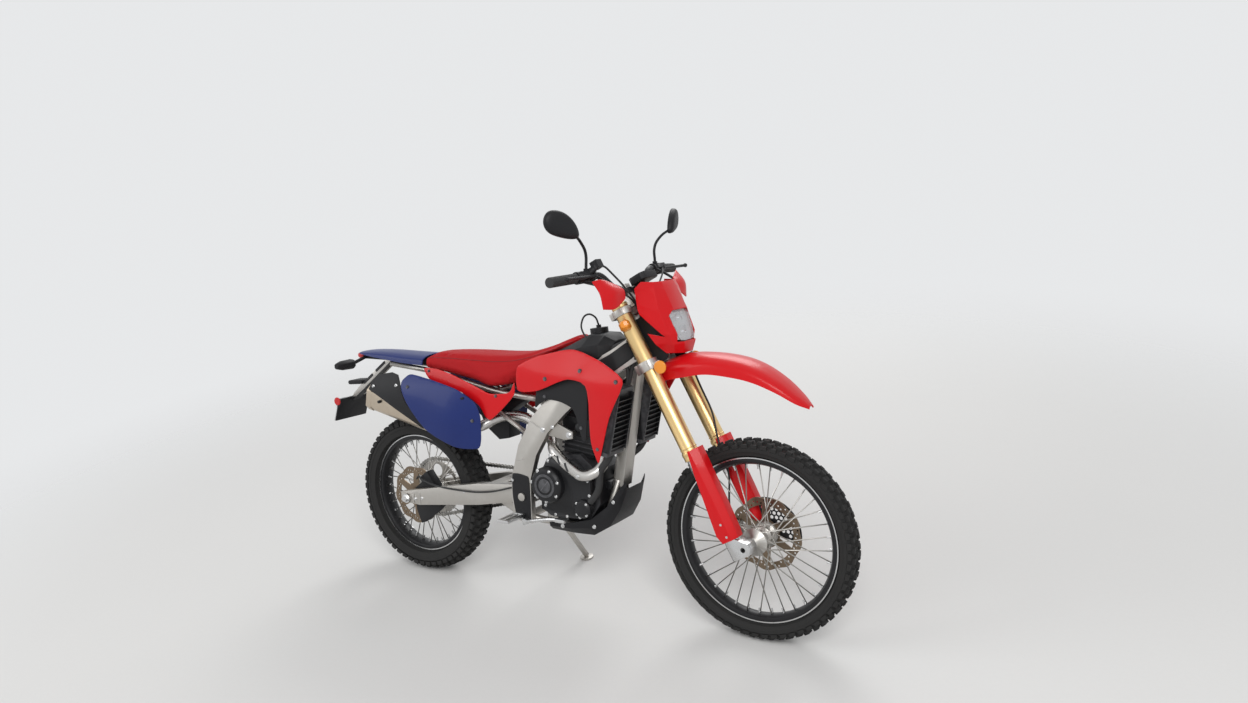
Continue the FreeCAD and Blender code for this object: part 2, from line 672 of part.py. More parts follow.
# Frame, subframe and swingarm.
# Main spar, on the left-hand side: x and z of its upper and of its lower edge, then its inner and outer y.
SPAR = [
    (1064, 1040, 1098, 958, 6, 26),
    (985, 975, 1015, 900, 57, 84),
    (854, 898, 906, 832, 92, 120),
    (741, 803, 799, 737, 94, 122),
    (655, 716, 725, 664, 96, 124),
    (590, 606, 670, 574, 98, 125),
    (558, 495, 642, 485, S.plate_in, S.plate_out),
    (548, 410, 640, 410, S.plate_in, S.plate_out),
    (562, 318, 640, 312, S.plate_in, S.plate_out),
]


def head_point(s, f=0.0, y=0.0):
    """A point given along and ahead of the steering axis, in the bike frame."""
    return FORK_FRAME.multVec(Vector(f, y, s))


def frame():
    spar = ruled([[Vector(xt, y0, zt), Vector(xt, y1, zt), Vector(xb, y1, zb), Vector(xb, y0, zb)]
                  for xt, zt, xb, zb, y0, y1 in SPAR])
    head_low = S.lower_clamp_s + S.lower_clamp_t + 5
    head_high = S.upper_clamp_s - 5
    head = rod(head_point(head_low), head_point(head_high), S.head_tube_r)
    bore = rod(head_point(head_low - 1), head_point(head_high + 1), S.stem_r + 0.6)
    down = ruled([[Vector(x + dx, y, z) for dx, y in ((-22, -half), (22, -half), (22, half), (-22, half))]
                  for x, z, half in ((1073, 977, 22), (1036, 911, 26), (967, 500, 30), (962, 470, 30))])
    rail = bent_tube([(962, 22, 492), (938, 60, 372), (900, 66, 312), (640, 66, 312), (596, 92, 328)], 13, 0.3)
    hanger = fused(side_plate([(690, 668), (722, 712), (752, 700), (822, 672), (822, 648), (788, 640), (712, 650)], 96, 104),
                   cross_rod(806, 660, 9, 67.5, 98))
    pivot_hole = cross_rod(S.pivot_x, S.pivot_z, S.pivot_bolt_r + S.fit_gap, -200, 200)
    cross = cross_rod(592, 326, 15, -S.plate_out + 4, S.plate_out - 4)
    upper_cross = cross_rod(680, 696, 12, -100, 100)
    stay = rod(Vector(1085, 0, 960), Vector(1000, 0, 905), 12)
    cross_brace = rod(Vector(1002, -68, 925), Vector(1002, 68, 925), 12)
    seat_bush = [cross_rod(700, 776, 13, side - 12, side + 12) for side in (-102, 102)]
    pivot, _, _, _, axis = stand_directions()
    stand_lug = side_plate([(562, 330), (612, 330), (594, 264), (568, 238), (542, 250), (544, 284)], 104, S.plate_out)
    stand_boss = rod(pivot - axis * 32, pivot - axis * 6.5, 15)
    stand_pin = rod(pivot - axis * 20, pivot + axis * 9, 6)
    whole = fused(spar, mirrored(spar), head, down, rail, mirrored(rail), hanger, mirrored(hanger), cross,
                  upper_cross, stay, cross_brace, *seat_bush, stand_lug, stand_boss, stand_pin)
    return whole.cut(Part.makeCompound([bore, pivot_hole]))


feature("frame", frame())

# Subframe tubes on the left-hand side, as points (x, y, z).
SUBFRAME_TOP = [(688, 76, 776), (600, 74, 778), (440, 68, 790), (120, 52, 846), (-120, 40, 862)]
SUBFRAME_LOW = [(606, 84, 640), (520, 84, 688), (300, 60, 806)]


def subframe():
    top = bent_tube(SUBFRAME_TOP, 11, 0.3)
    low = bent_tube(SUBFRAME_LOW, 9, 0.3)
    foot = cross_rod(688, 776, 13, 70, 90 - S.fit_gap)
    lug = cross_rod(606, 640, 13, 76, 97 - S.fit_gap)
    crosses = [Part.makeCylinder(9, 2 * half, Vector(x, -half, z), Vector(0, 1, 0))
               for x, half, z in ((440, 66, 790), (120, 50, 846), (-116, 38, 862))]
    return fused(top, mirrored(top), low, mirrored(low), foot, mirrored(foot), lug, mirrored(lug), *crosses)


feature("subframe", subframe())

# Swingarm, left-hand arm: x, underside z, top z, inner y and outer y of each section.
ARM = [
    (-38, 306, 346, 86, 112),
    (60, 302, 366, arm_in, 112),
    (370, 343, 428, 80, 110),
    (540, 374, 442, 62, 98),
    (630, 384, 438, 62, 98),
]


def swingarm():
    arm = ruled([[Vector(x, y0, z0), Vector(x, y1, z0), Vector(x, y1, z1), Vector(x, y0, z1)]
                 for x, z0, z1, y0, y1 in ARM])
    bridge = box(392, 452, -82, 82, 352, 424)
    pivot = cross_rod(S.pivot_x, S.pivot_z, 22, -70, 70)
    bolt = cross_rod(S.pivot_x, S.pivot_z, S.pivot_bolt_r, -S.plate_out - 6, S.plate_out + 6)
    nuts = [cross_rod(S.pivot_x, S.pivot_z, 15, y0, y0 + 8) for y0 in (-S.plate_out - 8.3, S.plate_out + 0.3)]
    axle = cross_rod(0, S.rear_tyre_r, S.rear_axle_r, -122, 122)
    ends = [cross_rod(0, S.rear_tyre_r, 19, y0, y0 + 12) for y0 in (-123, 111)]
    blocks = [box(-30, 34, y0, y0 + 4, S.rear_tyre_r - 19, S.rear_tyre_r + 19) for y0 in (-115, 111)]
    link = side_plate([(400, 356), (452, 356), (500, 318), (486, 300), (420, 330)], -26, 26)
    return fused(arm, mirrored(arm), bridge, pivot, bolt, *nuts, axle, *ends, *blocks, link)


feature("swingarm", swingarm())


def shock():
    """The rear shock absorber: damper, spring rings and its remote reservoir."""
    low, high = Vector(494, 0, 338), Vector(566, 0, 640)
    way = high - low
    length = way.Length
    coils, wire_r, coil_r, tube_r = 8, 5.5, 35.0, 21.0
    first, last = 70.0, length - 40.0
    rise = (last - first) / coils
    outline = [(0, 0), (15, 0), (15, 40), (tube_r, 44), (coil_r + 4, 58), (coil_r + 4, first - 2)]
    for coil in range(coils):
        z = first + rise * coil
        outline += [(tube_r + 2, z), (coil_r - 3, z + rise / 2 - wire_r), (coil_r + wire_r, z + rise / 2),
                    (coil_r - 3, z + rise / 2 + wire_r)]
    outline += [(tube_r + 2, last), (coil_r + 4, last + 2), (coil_r + 4, last + 12), (tube_r, last + 16), (15, length),
                (0, length)]
    wire = polygon([Vector(r, 0, z) for r, z in outline])
    turned = Part.Face(wire).revolve(Vector(0, 0, 0), Vector(0, 0, 1), 360)
    turned.Placement = Placement(low, Rotation(Vector(0, 0, 1), way))
    eye = cross_rod(high.x, high.z, 15, -24, 24)
    ears = cross_rod(low.x - 2, low.z - 6, 13, -26, 26)
    return fused(turned, eye, ears)


feature("shock", shock().cut(swingarm()))


# Engine and exhaust.
def crankcase():
    outline = [(655, 360), (652, 500), (700, 568), (836, 586), (908, 530), (918, 410), (872, 342), (710, 336)]
    case = side_plate(outline, -82, 82).cut(box(600, 748, 54, 90, 300, 600))
    sump = ruled([[Vector(x, y, z) for x, y in ((700, -44), (880, -44), (880, 44), (700, 44))]
                  for z in (350, 316)])
    front_mount = cross_rod(922, 470, 16, -34, 34)
    drive, _ = toothed_disc(S.front_teeth)
    drive = drive.translated(Vector(S.front_sprocket_x, S.chain_y - S.sprocket_t / 2, S.front_sprocket_z))
    shaft = cross_rod(S.front_sprocket_x, S.front_sprocket_z, 12, 50, S.chain_y + 8)
    return fused(case, sump, front_mount, drive, shaft)


feature("crankcase", crankcase())


def cylinder():
    """Barrel, head and cam cover in one stack, leaning forwards from the crankcase."""
    # height above the base, half length, half width, corner
    rings = [(0, 68, 62, 16), (74, 68, 62, 16), (76, 76, 66, 16), (140, 80, 70, 14), (142, 72, 62, 14),
             (176, 66, 56, 22), (190, 40, 44, 20)]
    stack = ruled([[Vector(u, v, z) for u, v in rounded(a, b, c)] for z, a, b, c in rings])
    fins = [Part.makeBox(140, 128, 5, Vector(-70, -64, z)) for z in (14, 32, 50)]
    port = Part.makeCylinder(25, 36, Vector(66, -16, 112), Vector(1, -0.35, -0.25))
    plug = Part.makeCylinder(14, 26, Vector(10, -60, 108), Vector(0, -1, 0.1))
    made = fused(stack, *fins, port, plug)
    made.Placement = Placement(Vector(812, 0, 578), Rotation(Vector(0, 1, 0), 7))
    return made.cut(crankcase())


feature("cylinder", cylinder())


def engine_covers():
    """Clutch cover on the right, ignition cover and sprocket cover on the left."""
    def round_cover(x, z, rings):
        wire = polygon([Vector(0, 0, 0), *[Vector(r, 0, h) for h, r in rings], Vector(0, 0, rings[-1][0])])
        made = Part.Face(wire).revolve(Vector(0, 0, 0), Vector(0, 0, 1), 360)
        made.Placement = Placement(Vector(x, 0, z), Rotation(Vector(1, 0, 0), 90))
        return made

    skirt = side_plate([(684, 372), (674, 500), (706, 562), (826, 566), (896, 500), (896, 410), (850, 354), (716, 350)],
                       -110, -82)
    clutch = round_cover(718, 470, [(0, 67), (34, 67), (40, 63), (46, 56), (47, 0.5)]).translated(Vector(0, -100, 0))
    pump = round_cover(868, 398, [(0, 34), (26, 34), (34, 26), (35, 0.5)]).translated(Vector(0, -100, 0))
    right = fused(skirt, clutch, pump)
    left_skirt = side_plate([(742, 362), (730, 478), (766, 540), (856, 548), (902, 488), (896, 396), (846, 346)],
                            82, 100)
    rotor = mirrored(round_cover(820, 440, [(0, 66), (28, 66), (38, 56), (40, 0.5)])).translated(Vector(0, 96, 0))
    left = fused(left_skirt, rotor)
    return Part.makeCompound([right, left])


feature("engine_covers", engine_covers())

HEADER = [(892, -24, 664), (940, -56, 620), (948, -108, 552), (894, -146, 520), (815, -146, 564),
          (752, -130, 604), (708, -66, 620), (640, -50, 668), (560, -48, 700), (452, -50, 690), (392, -104, 652),
          (334, -126, 641)]


def header():
    """The pipe from the exhaust port, with a slotted heat shield on two posts over its outer run."""
    pipe = bent_tube(HEADER, S.header_r, 0.42)
    sleeve_out, sleeve_in = (bent_tube(HEADER, S.header_r + more, 0.42) for more in (7, 4))
    shield = sleeve_out.cut(sleeve_in).common(box(756, 892, -190, -143, 500, 640))
    slots = [cross_rod(x, z, 4, -190, -140).fuse(cross_rod(x + 22, z + 4, 4, -190, -140)).fuse(
        side_plate([(x, z - 4), (x, z + 4), (x + 22, z + 8), (x + 22, z)], -190, -140)) for x, z in ((776, 586), (812, 562))]
    posts = [rod(Vector(x, -146, z), Vector(x, -146 - S.header_r - 5, z), 5) for x, z in ((768, 594), (878, 528))]
    return pipe.cut(cylinder()).multiFuse([shield.cut(Part.makeCompound(slots)), *posts])


feature("exhaust_header", header())


def muffler():
    """The silencer: an eight-sided oval can with a tapered inlet, on the right-hand side."""
    start, end = Vector(330, -S.muffler_y, 640), Vector(-144, -S.muffler_y - 4, 744)
    way = end - start
    length = way.Length
    w, t = S.muffler_w / 2, S.muffler_tall / 2
    rings = [(0, 24, 24, 22), (26, 30, 30, 26), (92, w - 5, t - 8, 34), (100, w - 2, t - 3, 34),
             (length - 34, w - 2, t - 3, 34), (length - 32, w, t, 34), (length - 8, w, t, 34), (length, w - 10, t - 14, 26)]
    can = ruled([[Vector(v, -u, z) for u, v in rounded(a, b, c)] for z, a, b, c in rings])
    outlet = Part.makeCylinder(22, 14, Vector(8, 0, length - 2), Vector(0, 0, 1))
    bore = Part.makeCylinder(18, 90, Vector(8, 0, length - 60), Vector(0, 0, 1))
    made = fused(can, outlet).cut(bore)
    turn = Rotation(Vector(-1, 0, 0), Vector(0, -1, 0), way, "ZXY")
    made.Placement = Placement(start, turn)
    hanger = side_plate([(122, 714), (150, 800), (136, 822), (112, 812), (84, 724)], -96, -90)
    return fused(made, hanger)


feature("muffler", muffler().cut(bent_tube(HEADER, S.header_r + S.fit_gap, 0.42)))

GUARD_OUTLINE = [
    (-108, 778), (-100, 806), (-84, 826), (-60, 840), (0, 850), (34, 842), (50, 816), (88, 736), (186, 646), (176, 638),
    (70, 692), (-60, 756)]


def muffler_guard():
    stations = [-130, 20, 170]
    heights = [610, 700, 780, 860]
    table = [[-184, -188, -186, -156], [-184, -188, -186, -156], [-180, -184, -182, -152]]
    shell = skin(stations, heights, table, GUARD_OUTLINE, S.skin_t)
    posts = panel_posts(stations, heights, table, [(-60, 730, 170), (56, 704, 170)])
    return fused(shell, *posts).cut(muffler())


feature("muffler_guard", muffler_guard())


# Radiators, tank, seat and bodywork.
def radiators():
    """Two cores with side tanks and slanted louvres in front."""
    low, high = Vector(1008, 0, 628), Vector(1050, 0, 832)
    way = high - low
    length = way.Length
    core = Part.makeBox(34, 104, length, Vector(-34, 62, 0))
    top = Part.makeBox(40, 112, 18, Vector(-37, 58, length))
    bottom = Part.makeBox(40, 112, 16, Vector(-37, 58, -16))
    louvres = [ruled([[Vector(x, y, z) for x, z in ((1, z0), (13, z0 + 7), (13, z0 + 10), (1, z0 + 3))]
                      for y in (66, 162)]) for z0 in [8 + 19 * n for n in range(10)]]
    posts = [Part.makeBox(13.5, 4, length, Vector(0, y, 0)) for y in (62, 162)]
    made = fused(core, top, bottom, *louvres, *posts)
    made.Placement = Placement(low, Rotation(Vector(0, 0, 1), way))
    stay = box(990, 1006, 28.4, 62, 700, 716)
    return both_sides(fused(made, stay))


feature("radiators", radiators())

# Fuel tank: x, underside z, waist z, top z, then half widths at the underside, waist and top.
TANK = [
    (652, 862, 900, 936, 50, 70, 46),
    (730, 838, 915, 958, 80, 98, 60),
    (812, 842, 925, 992, 84, 112, 66),
    (880, 872, 935, 1026, 84, 114, 62),
    (940, 912, 950, 1026, 72, 104, 56),
    (978, 936, 962, 1004, 40, 70, 40),
]


def fuel_tank():
    rings = []
    for x, z0, zm, z1, w0, wm, w1 in TANK:
        rings.append([Vector(x, y, z) for y, z in (
            (-w0, z0), (w0, z0), (wm, zm), (wm * 0.96, (zm + z1) / 2 + 4), (w1, z1 - 4), (w1 * 0.4, z1),
            (-w1 * 0.4, z1), (-w1, z1 - 4), (-wm * 0.96, (zm + z1) / 2 + 4), (-wm, zm))])
    cap = Part.makeCylinder(33, 24, Vector(886, 0, 1018), Vector(-0.12, 0, 1))
    vent = Part.makeCylinder(9, 12, Vector(883, 0, 1040), Vector(-0.12, 0, 1))
    return fused(ruled(rings), cap, vent)


feature("fuel_tank", fuel_tank().cut(Part.makeCompound([frame()])))

# Seat: x, underside z, side z, top z, then half widths at the underside, side and top.
SEAT = [
    (92, 868, 884, 912, 74, 80, 62),
    (230, 850, 872, 921, 94, 102, 78),
    (350, 834, 856, 924, 106, 116, 84),
    (470, 812, 840, 926, 112, 122, 84),
    (580, 858, 884, 934, 102, 112, 76),
    (690, 944, 950, 962, 78, 88, 60),
    (780, 978, 984, 996, 62, 70, 46),
    (838, 1004, 1010, 1018, 44, 50, 32),
]


def seat():
    rings = []
    for x, z0, zm, z1, w0, wm, w1 in SEAT:
        half = [(w0, z0), (wm, zm), (wm * 0.94, zm + (z1 - zm) * 0.6), (w1, z1 - 4), (w1 * 0.5, z1)]
        rings.append([Vector(x, y, z) for y, z in half] + [Vector(x, -y, z) for y, z in half[::-1]])
    return ruled(rings).cut(Part.makeCompound([fuel_tank(), bent_tube(SUBFRAME_TOP, 11.3, 0.3)]))


feature("seat", seat())

# Radiator shroud on the right-hand side: outline (x, z), then y at each station x and height z.
SHROUD_OUTLINE = [
    (596, 806), (700, 818), (841, 878), (950, 868), (944, 661), (972, 590), (978, 592), (1002, 660),
    (1038, 762), (1116, 896), (1000, 946), (846, 982), (698, 946), (600, 906)]
SHROUD_STATIONS = [580, 700, 846, 957, 1040, 1130]
SHROUD_HEIGHTS = [570, 700, 800, 880, 940, 1000]
SHROUD_Y = [
    [-128, -128, -128, -130, -126, -120],
    [-140, -140, -142, -144, -132, -120],
    [-158, -158, -158, -156, -138, -114],
    [-170, -178, -184, -186, -160, -124],
    [-176, -190, -198, -198, -176, -140],
    [-184, -196, -204, -206, -190, -160],
]


def shroud():
    return skin(SHROUD_STATIONS, SHROUD_HEIGHTS, SHROUD_Y, SHROUD_OUTLINE, S.skin_t)


feature("radiator_shrouds", both_sides(shroud()))

# Black cover over the right-hand spar, tucked under the shroud.
SPAR_COVER_OUTLINE = [
    (676, 750), (688, 832), (761, 872), (816, 896), (914, 892), (914, 752), (904, 646), (888, 650), (862, 742),
    (846, 768), (796, 786), (738, 792), (700, 772)]
SPAR_COVER_STATIONS = [660, 760, 860, 930]
SPAR_COVER_HEIGHTS = [630, 740, 810, 900]
SPAR_COVER_Y = [
    [-129, -129, -129, -122],
    [-131, -131, -131, -124],
    [-136, -136, -134, -126],
    [-142, -142, -138, -130],
]


def frame_cover():
    shell = skin(SPAR_COVER_STATIONS, SPAR_COVER_HEIGHTS, SPAR_COVER_Y, SPAR_COVER_OUTLINE, S.skin_t)
    posts = panel_posts(SPAR_COVER_STATIONS, SPAR_COVER_HEIGHTS, SPAR_COVER_Y, [(724, 800, 120), (826, 806, 118)])
    return fused(shell, *posts).cut(frame())


feature("frame_covers", both_sides(frame_cover()))

# Side cover on the right-hand side, bulging over the muffler, and a slimmer one on the left.
COVER_OUTLINE = [
    (56, 822), (84, 850), (210, 832), (338, 806), (420, 760), (440, 706), (436, 620), (424, 577), (330, 577),
    (190, 636), (96, 736), (58, 796)]
COVER_STATIONS = [40, 150, 300, 380, 450]
COVER_HEIGHTS = [560, 640, 720, 800, 860]
COVER_RIGHT = [
    [-182, -190, -190, -176, -140],
    [-182, -190, -190, -176, -140],
    [-176, -188, -188, -168, -136],
    [-160, -172, -174, -158, -134],
    [-140, -148, -150, -144, -130],
]
COVER_LEFT = [
    [116, 120, 122, 118, 104],
    [128, 134, 136, 130, 112],
    [134, 142, 144, 136, 118],
    [132, 140, 142, 136, 120],
    [126, 132, 136, 132, 122],
]


def side_covers():
    sides = []
    for table in (COVER_RIGHT, COVER_LEFT):
        shell = skin(COVER_STATIONS, COVER_HEIGHTS, table, COVER_OUTLINE, S.skin_t)
        posts = panel_posts(COVER_STATIONS, COVER_HEIGHTS, table, [(300, 806, 72.0), (120, 840, 63.8)])
        sides.append(fused(shell, *posts))
    return Part.makeCompound(sides)


feature("side_covers", side_covers())

# Strip under the seat's edge on the right-hand side, from the tail to the side cover's front.
STRIP_OUTLINE = [
    (112, 868), (190, 868), (279, 852), (413, 812), (470, 790), (566, 800), (588, 850), (588, 796), (520, 730),
    (470, 690), (448, 700), (424, 762), (340, 810), (212, 836), (150, 844)]
STRIP_STATIONS = [100, 280, 450, 600]
STRIP_HEIGHTS = [680, 790, 840, 880]
STRIP_Y = [
    [-112, -112, -108, -98],
    [-132, -130, -122, -112],
    [-136, -134, -128, -124],
    [-130, -130, -130, -126],
]


def tail_strips():
    shell = skin(STRIP_STATIONS, STRIP_HEIGHTS, STRIP_Y, STRIP_OUTLINE, S.skin_t)
    posts = panel_posts(STRIP_STATIONS, STRIP_HEIGHTS, STRIP_Y, [(400, 798, 77.9), (520, 782, 82.6)])
    return both_sides(fused(shell, *posts))


feature("tail_strips", tail_strips())


def crowned(x, top, half, low):
    """A fender's cross-section: a crowned top and two skirts, from the right-hand edge to the left."""
    fall = top - low
    points = [(half, low), (half * 0.95, low + fall * 0.55), (half * 0.62, top - fall * 0.12), (0, top)]
    return x, points + [(-y, z) for y, z in points[-2::-1]]


# Fenders: x, top z, half width and lower edge z of each section.
REAR_FENDER = [
    (90, 911, 84, 872), (-10, 912, 80, 874), (-150, 913, 70, 884),
    (-250, 909, 60, 892), (-296, 904, 48, 896)]
FRONT_FENDER = [
    (1175, 941, 67, 875), (1249, 966, 76, 892), (1345, 972, 82, 910), (1443, 962, 84, 906), (1516, 939, 78, 892),
    (1590, 896, 66, 862), (1650, 848, 44, 826), (1684, 816, 16, 808)]



def rear_fender():
    shell = channel([crowned(*row) for row in REAR_FENDER], -S.skin_t)
    bosses = [Part.makeCylinder(7, 37, Vector(-60, y, 869.5), Vector(0, 0, 1)) for y in (-43, 43)]
    return fused(shell, *bosses)


feature("rear_fender", rear_fender())


def airbox():
    """The air cleaner case and inner mudguard between the side covers, its right side cut back for the exhaust."""
    outline = [(330, 690), (352, 640), (420, 590), (470, 600), (470, 700), (560, 760), (420, 764), (330, 786)]
    lug = box(430, 450, -16, 16, 755, 790 - 9 - 0.3)
    return fused(side_plate(outline, -26, 44), lug)


feature("airbox", airbox())


def skid_plate():
    """A moulded guard under the engine, turned up in front."""
    sections = []
    for x, z, half, lip in ((700, 288, 98, 318), (800, 287, 102, 330), (890, 292, 104, 356), (956, 334, 100, 410),
                            (996, 398, 90, 470), (1018, 470, 70, 500)):
        sections.append((x, [(-half, lip), (-half * 0.97, (z + lip) / 2), (-half * 0.8, z), (half * 0.8, z),
                             (half * 0.97, (z + lip) / 2), (half, lip)]))
    bosses = [Part.makeCylinder(8, 8, Vector(x, y, 291), Vector(0, 0, 1)) for x in (740, 860) for y in (-66, 66)]
    return fused(channel(sections, -5.0), *bosses).cut(frame())


feature("skid_plate", skid_plate())


# Tail.
PLATE_UP = Vector(0.309, 0, 0.951)
PLATE_AHEAD = Vector(0.951, 0, -0.309)
PLATE_FRAME = Placement(Vector(-415, 0, 652), Rotation(Vector(0, -1, 0), PLATE_AHEAD, PLATE_UP, "XZY"))


def plate_bracket():
    """The tail's under-tray and the arm that carries the number plate."""
    tray = channel([(x, [(-26, low), (-26, high), (26, high), (26, low)])
                    for x, low, high in ((60, 862, 898), (-120, 871.6, 905), (-288, 872, 898))], 4.0)
    arm = ruled([[Vector(x, y, z) for y in (-w, w)] + [Vector(x + dx, y, z + dz) for y in (w, -w)]
                 for x, z, w, dx, dz in ((-144, 893, 24, 14, -10), (-330, 752, 22, 14, -10), (-399.5, 690, 22, 14, -6))])
    holder = box(-86, 86, S.plate_t / 2 + 0.3, S.plate_t / 2 + 6, -50, 50)
    holder.Placement = PLATE_FRAME
    stalks = [rod(Vector(-276, side * 22, 884), Vector(-282, side * 96, 862), 7) for side in (-1, 1)]
    return fused(tray, arm, holder, *stalks)


def number_plate():
    body = new_body("number_plate", PLATE_FRAME)
    half, tall, hole_z = S.plate_w / 2, S.plate_tall / 2, S.plate_tall / 2 - 12
    pad(body, "XZ_Plane", [
        [(-half, -tall), (half, -tall), (half, tall), (-half, tall)],
        ("circle", -(S.plate_hole_gap / 2), hole_z, S.lug_holes_r),
        ("circle", S.plate_hole_gap / 2, hole_z, S.lug_holes_r)], S.plate_t, symmetric=True)
    return body


feature("plate_bracket", plate_bracket())
number_plate()


def lamp_shell(length, width, tall, nose):
    """A rounded lamp body along +x, eight-sided, drawn in to its nose."""
    rings = [(0, 0.8), (length * 0.12, 1.0), (length * 0.7, 0.92), (length, nose)]
    return ruled([[Vector(x, y, z) for y, z in rounded(width / 2 * k, tall / 2 * k, tall * 0.42 * k)]
                  for x, k in rings])


def placed(shape, x, y, z, axis=Vector(0, 0, 1), angle=0.0):
    made = shape.copy()
    made.Placement = Placement(Vector(x, y, z), Rotation(axis, angle))
    return made


def tail_light():
    return placed(lamp_shell(44, 66, 26, 0.7), -288.6, 0, 884, Vector(0, 0, 1), 180)


feature("tail_light", tail_light())
rear_lamp = placed(lamp_shell(92, 40, 40, 0.55), -282, -98.5, 861, Vector(0, 0, 1), -90)
feature("rear_indicators", both_sides(rear_lamp))


# Foot controls and rear brake.
def foot_controls():
    """Foot pegs with toothed treads on their brackets, the brake pedal and the gear lever."""
    def peg():
        tread = side_plate([(-24, -6), (-24, 5), (24, 5), (24, -6)], S.peg_in, S.peg_in + S.peg_l)
        slot = box(-17, 17, S.peg_in + 9, S.peg_in + S.peg_l - 8, -8, 8)
        bar = cross_rod(0, -2, 6, S.peg_in, S.peg_in + S.peg_l - 2)
        ear = box(-20, 20, S.plate_out + S.fit_gap, S.peg_in + 6, -14, 6)
        return fused(tread.cut(slot), bar, ear).translated(Vector(S.peg_x, 0, S.peg_z))

    pedal = fused(
        bent_tube([(622, -142, 322), (660, -150, 332), (740, -160, 352), (800, -160, 358)], 7, 0.3),
        box(782, 822, -178, -146, 352, 364), cross_rod(622, 322, 12, -150, -S.plate_out - S.fit_gap))
    lever = fused(
        bent_tube([(664, 118, 372), (700, 128, 376), (772, 132, 388)], 6, 0.3),
        cross_rod(772, 390, 9, 128, 168), cross_rod(664, 372, 10, 83, 126))
    return Part.makeCompound([peg(), mirrored(peg()), pedal, lever])


feature("foot_controls", foot_controls())


def caliper(plane_y, reach, centre_r, turn, out_y):
    """A brake caliper over the disc's edge, at an angle about the axle, carried at out_y."""
    gap = S.disc_t / 2 + 5
    lift = centre_r
    body = box(-38, 38, -gap - 18, gap + reach, lift - 30, lift + 22)
    slot = box(-60, 60, -gap, gap, lift - 80, lift + 13)
    made = body.cut(slot)
    stay = box(-20, 20, gap + 2 if out_y > 0 else -gap - 12, gap + 12 if out_y > 0 else -gap - 2, 26, lift - 20)
    whole = made.fuse(stay)
    whole.Placement = Placement(Vector(0, plane_y, 0), Rotation(Vector(0, 1, 0), turn))
    return whole.removeSplitter()


def rear_brake():
    """Rear caliper on its carrier inside the right-hand arm, and the guard under the disc."""
    carrier = caliper(0, 8, S.rear_disc_r - 8, 52, -1)
    carrier = carrier.translated(REAR_AXLE + Vector(0, -S.disc_y, 0))
    hole = cross_rod(0, S.rear_tyre_r, 18 + 1.0, -200, 0)
    outline = [(10, 300), (14, 268), (36, 214), (60, 222), (150, 286), (178, 316)]
    guard = side_plate(outline, -80, -74)
    foot = box(90, 150, -arm_in + 0.3, -74, 298, 318)
    return Part.makeCompound([carrier.cut(hole), fused(guard, foot).cut(swingarm())])


feature("rear_brake", rear_brake().cut(swingarm()))


# Side stand.
def side_stand():
    pivot, foot, down, folded, axis = stand_directions()
    floor_up = Vector(0, -math.sin(math.radians(S.lean)), math.cos(math.radians(S.lean)))
    ankle = foot + floor_up * (S.stand_foot_t + 4)
    along = Vector(down).normalize()
    across = axis.cross(along)
    leg = rod(pivot + along * 32, ankle, S.stand_leg_r)
    eye = Part.makeCylinder(13, 12, pivot - axis * 6, axis)
    link = Part.Face(polygon([pivot - axis * 6 + along * u + across * v for u, v in
                              ((0, -13), (44, -10), (44, 10), (0, 13))])).extrude(axis * 12)
    pad_disc = Part.makeCylinder(S.stand_foot_r, S.stand_foot_t, foot, floor_up)
    pin_hole = Part.makeCylinder(6 + S.fit_gap, 40, pivot - axis * 20, axis)
    return fused(leg, eye, link, pad_disc).cut(pin_hole)


feature("side_stand", side_stand())


# Steering.
def triple_clamps():
    """Both fork clamps on the steering stem, with the handlebar's risers."""
    half = S.fork_gap / 2
    grip = S.fork_outer_r + 9

    def clamp(low, thick):
        outline = [(-30, -34), (-14, -half + 6), (-14, -half - 26), (S.clamp_offset + 20, -half - grip + 4),
                   (S.clamp_offset + 34, -half + 4), (34, -46), (34, 46), (S.clamp_offset + 34, half - 4),
                   (S.clamp_offset + 20, half + grip - 4), (-14, half + 26), (-14, half - 6), (-30, 34)]
        plate = Part.Face(polygon([Vector(x, y, low) for x, y in outline])).extrude(Vector(0, 0, thick))
        for side in (-1, 1):
            plate = plate.fuse(Part.makeCylinder(grip, thick, Vector(S.clamp_offset, side * half, low)))
        return plate

    lower, upper = clamp(S.lower_clamp_s, S.lower_clamp_t), clamp(S.upper_clamp_s, S.upper_clamp_t)
    stem = Part.makeCylinder(S.stem_r, S.upper_clamp_s + S.upper_clamp_t + 14 - S.lower_clamp_s,
                             Vector(0, 0, S.lower_clamp_s))
    nut = Part.makeCylinder(21, 12, Vector(0, 0, S.upper_clamp_s + S.upper_clamp_t))
    top = S.upper_clamp_s + S.upper_clamp_t
    risers = []
    for y in (-39, 39):
        block = box(S.bar_clamp_f - 21, S.bar_clamp_f + 21, y - 14, y + 14, top - 1, S.bar_clamp_s + 22)
        risers.append(block)
    bar_hole = Part.makeCylinder(S.bar_r + S.fit_gap, 160, Vector(S.bar_clamp_f, -80, S.bar_clamp_s), Vector(0, 1, 0))
    fork_holes = [Part.makeCylinder(S.fork_outer_r + S.fit_gap, 400, Vector(S.clamp_offset, side * half, 950))
                  for side in (-1, 1)]
    lamp_stay = rod(Vector(40, 0, S.lower_clamp_s + 20), FORK_FRAME.inverse().multVec(Vector(1166, 0, 1017.4)), 9)
    lamp_stay = lamp_stay.cut(placed_box(FORK_FRAME.inverse(), 1100, 1300, -60, 60, 1017.4, 1100))
    reflector_stays = [box(50, 80, y - 3, y + 3, 1012, 1046) for y in (-half - 16, half + 16)]
    whole = fused(lower, upper, stem, nut, lamp_stay, *reflector_stays, *risers)
    return whole.cut(Part.makeCompound([bar_hole, *fork_holes]))


feature("triple_clamps", triple_clamps(), FORK_FRAME)


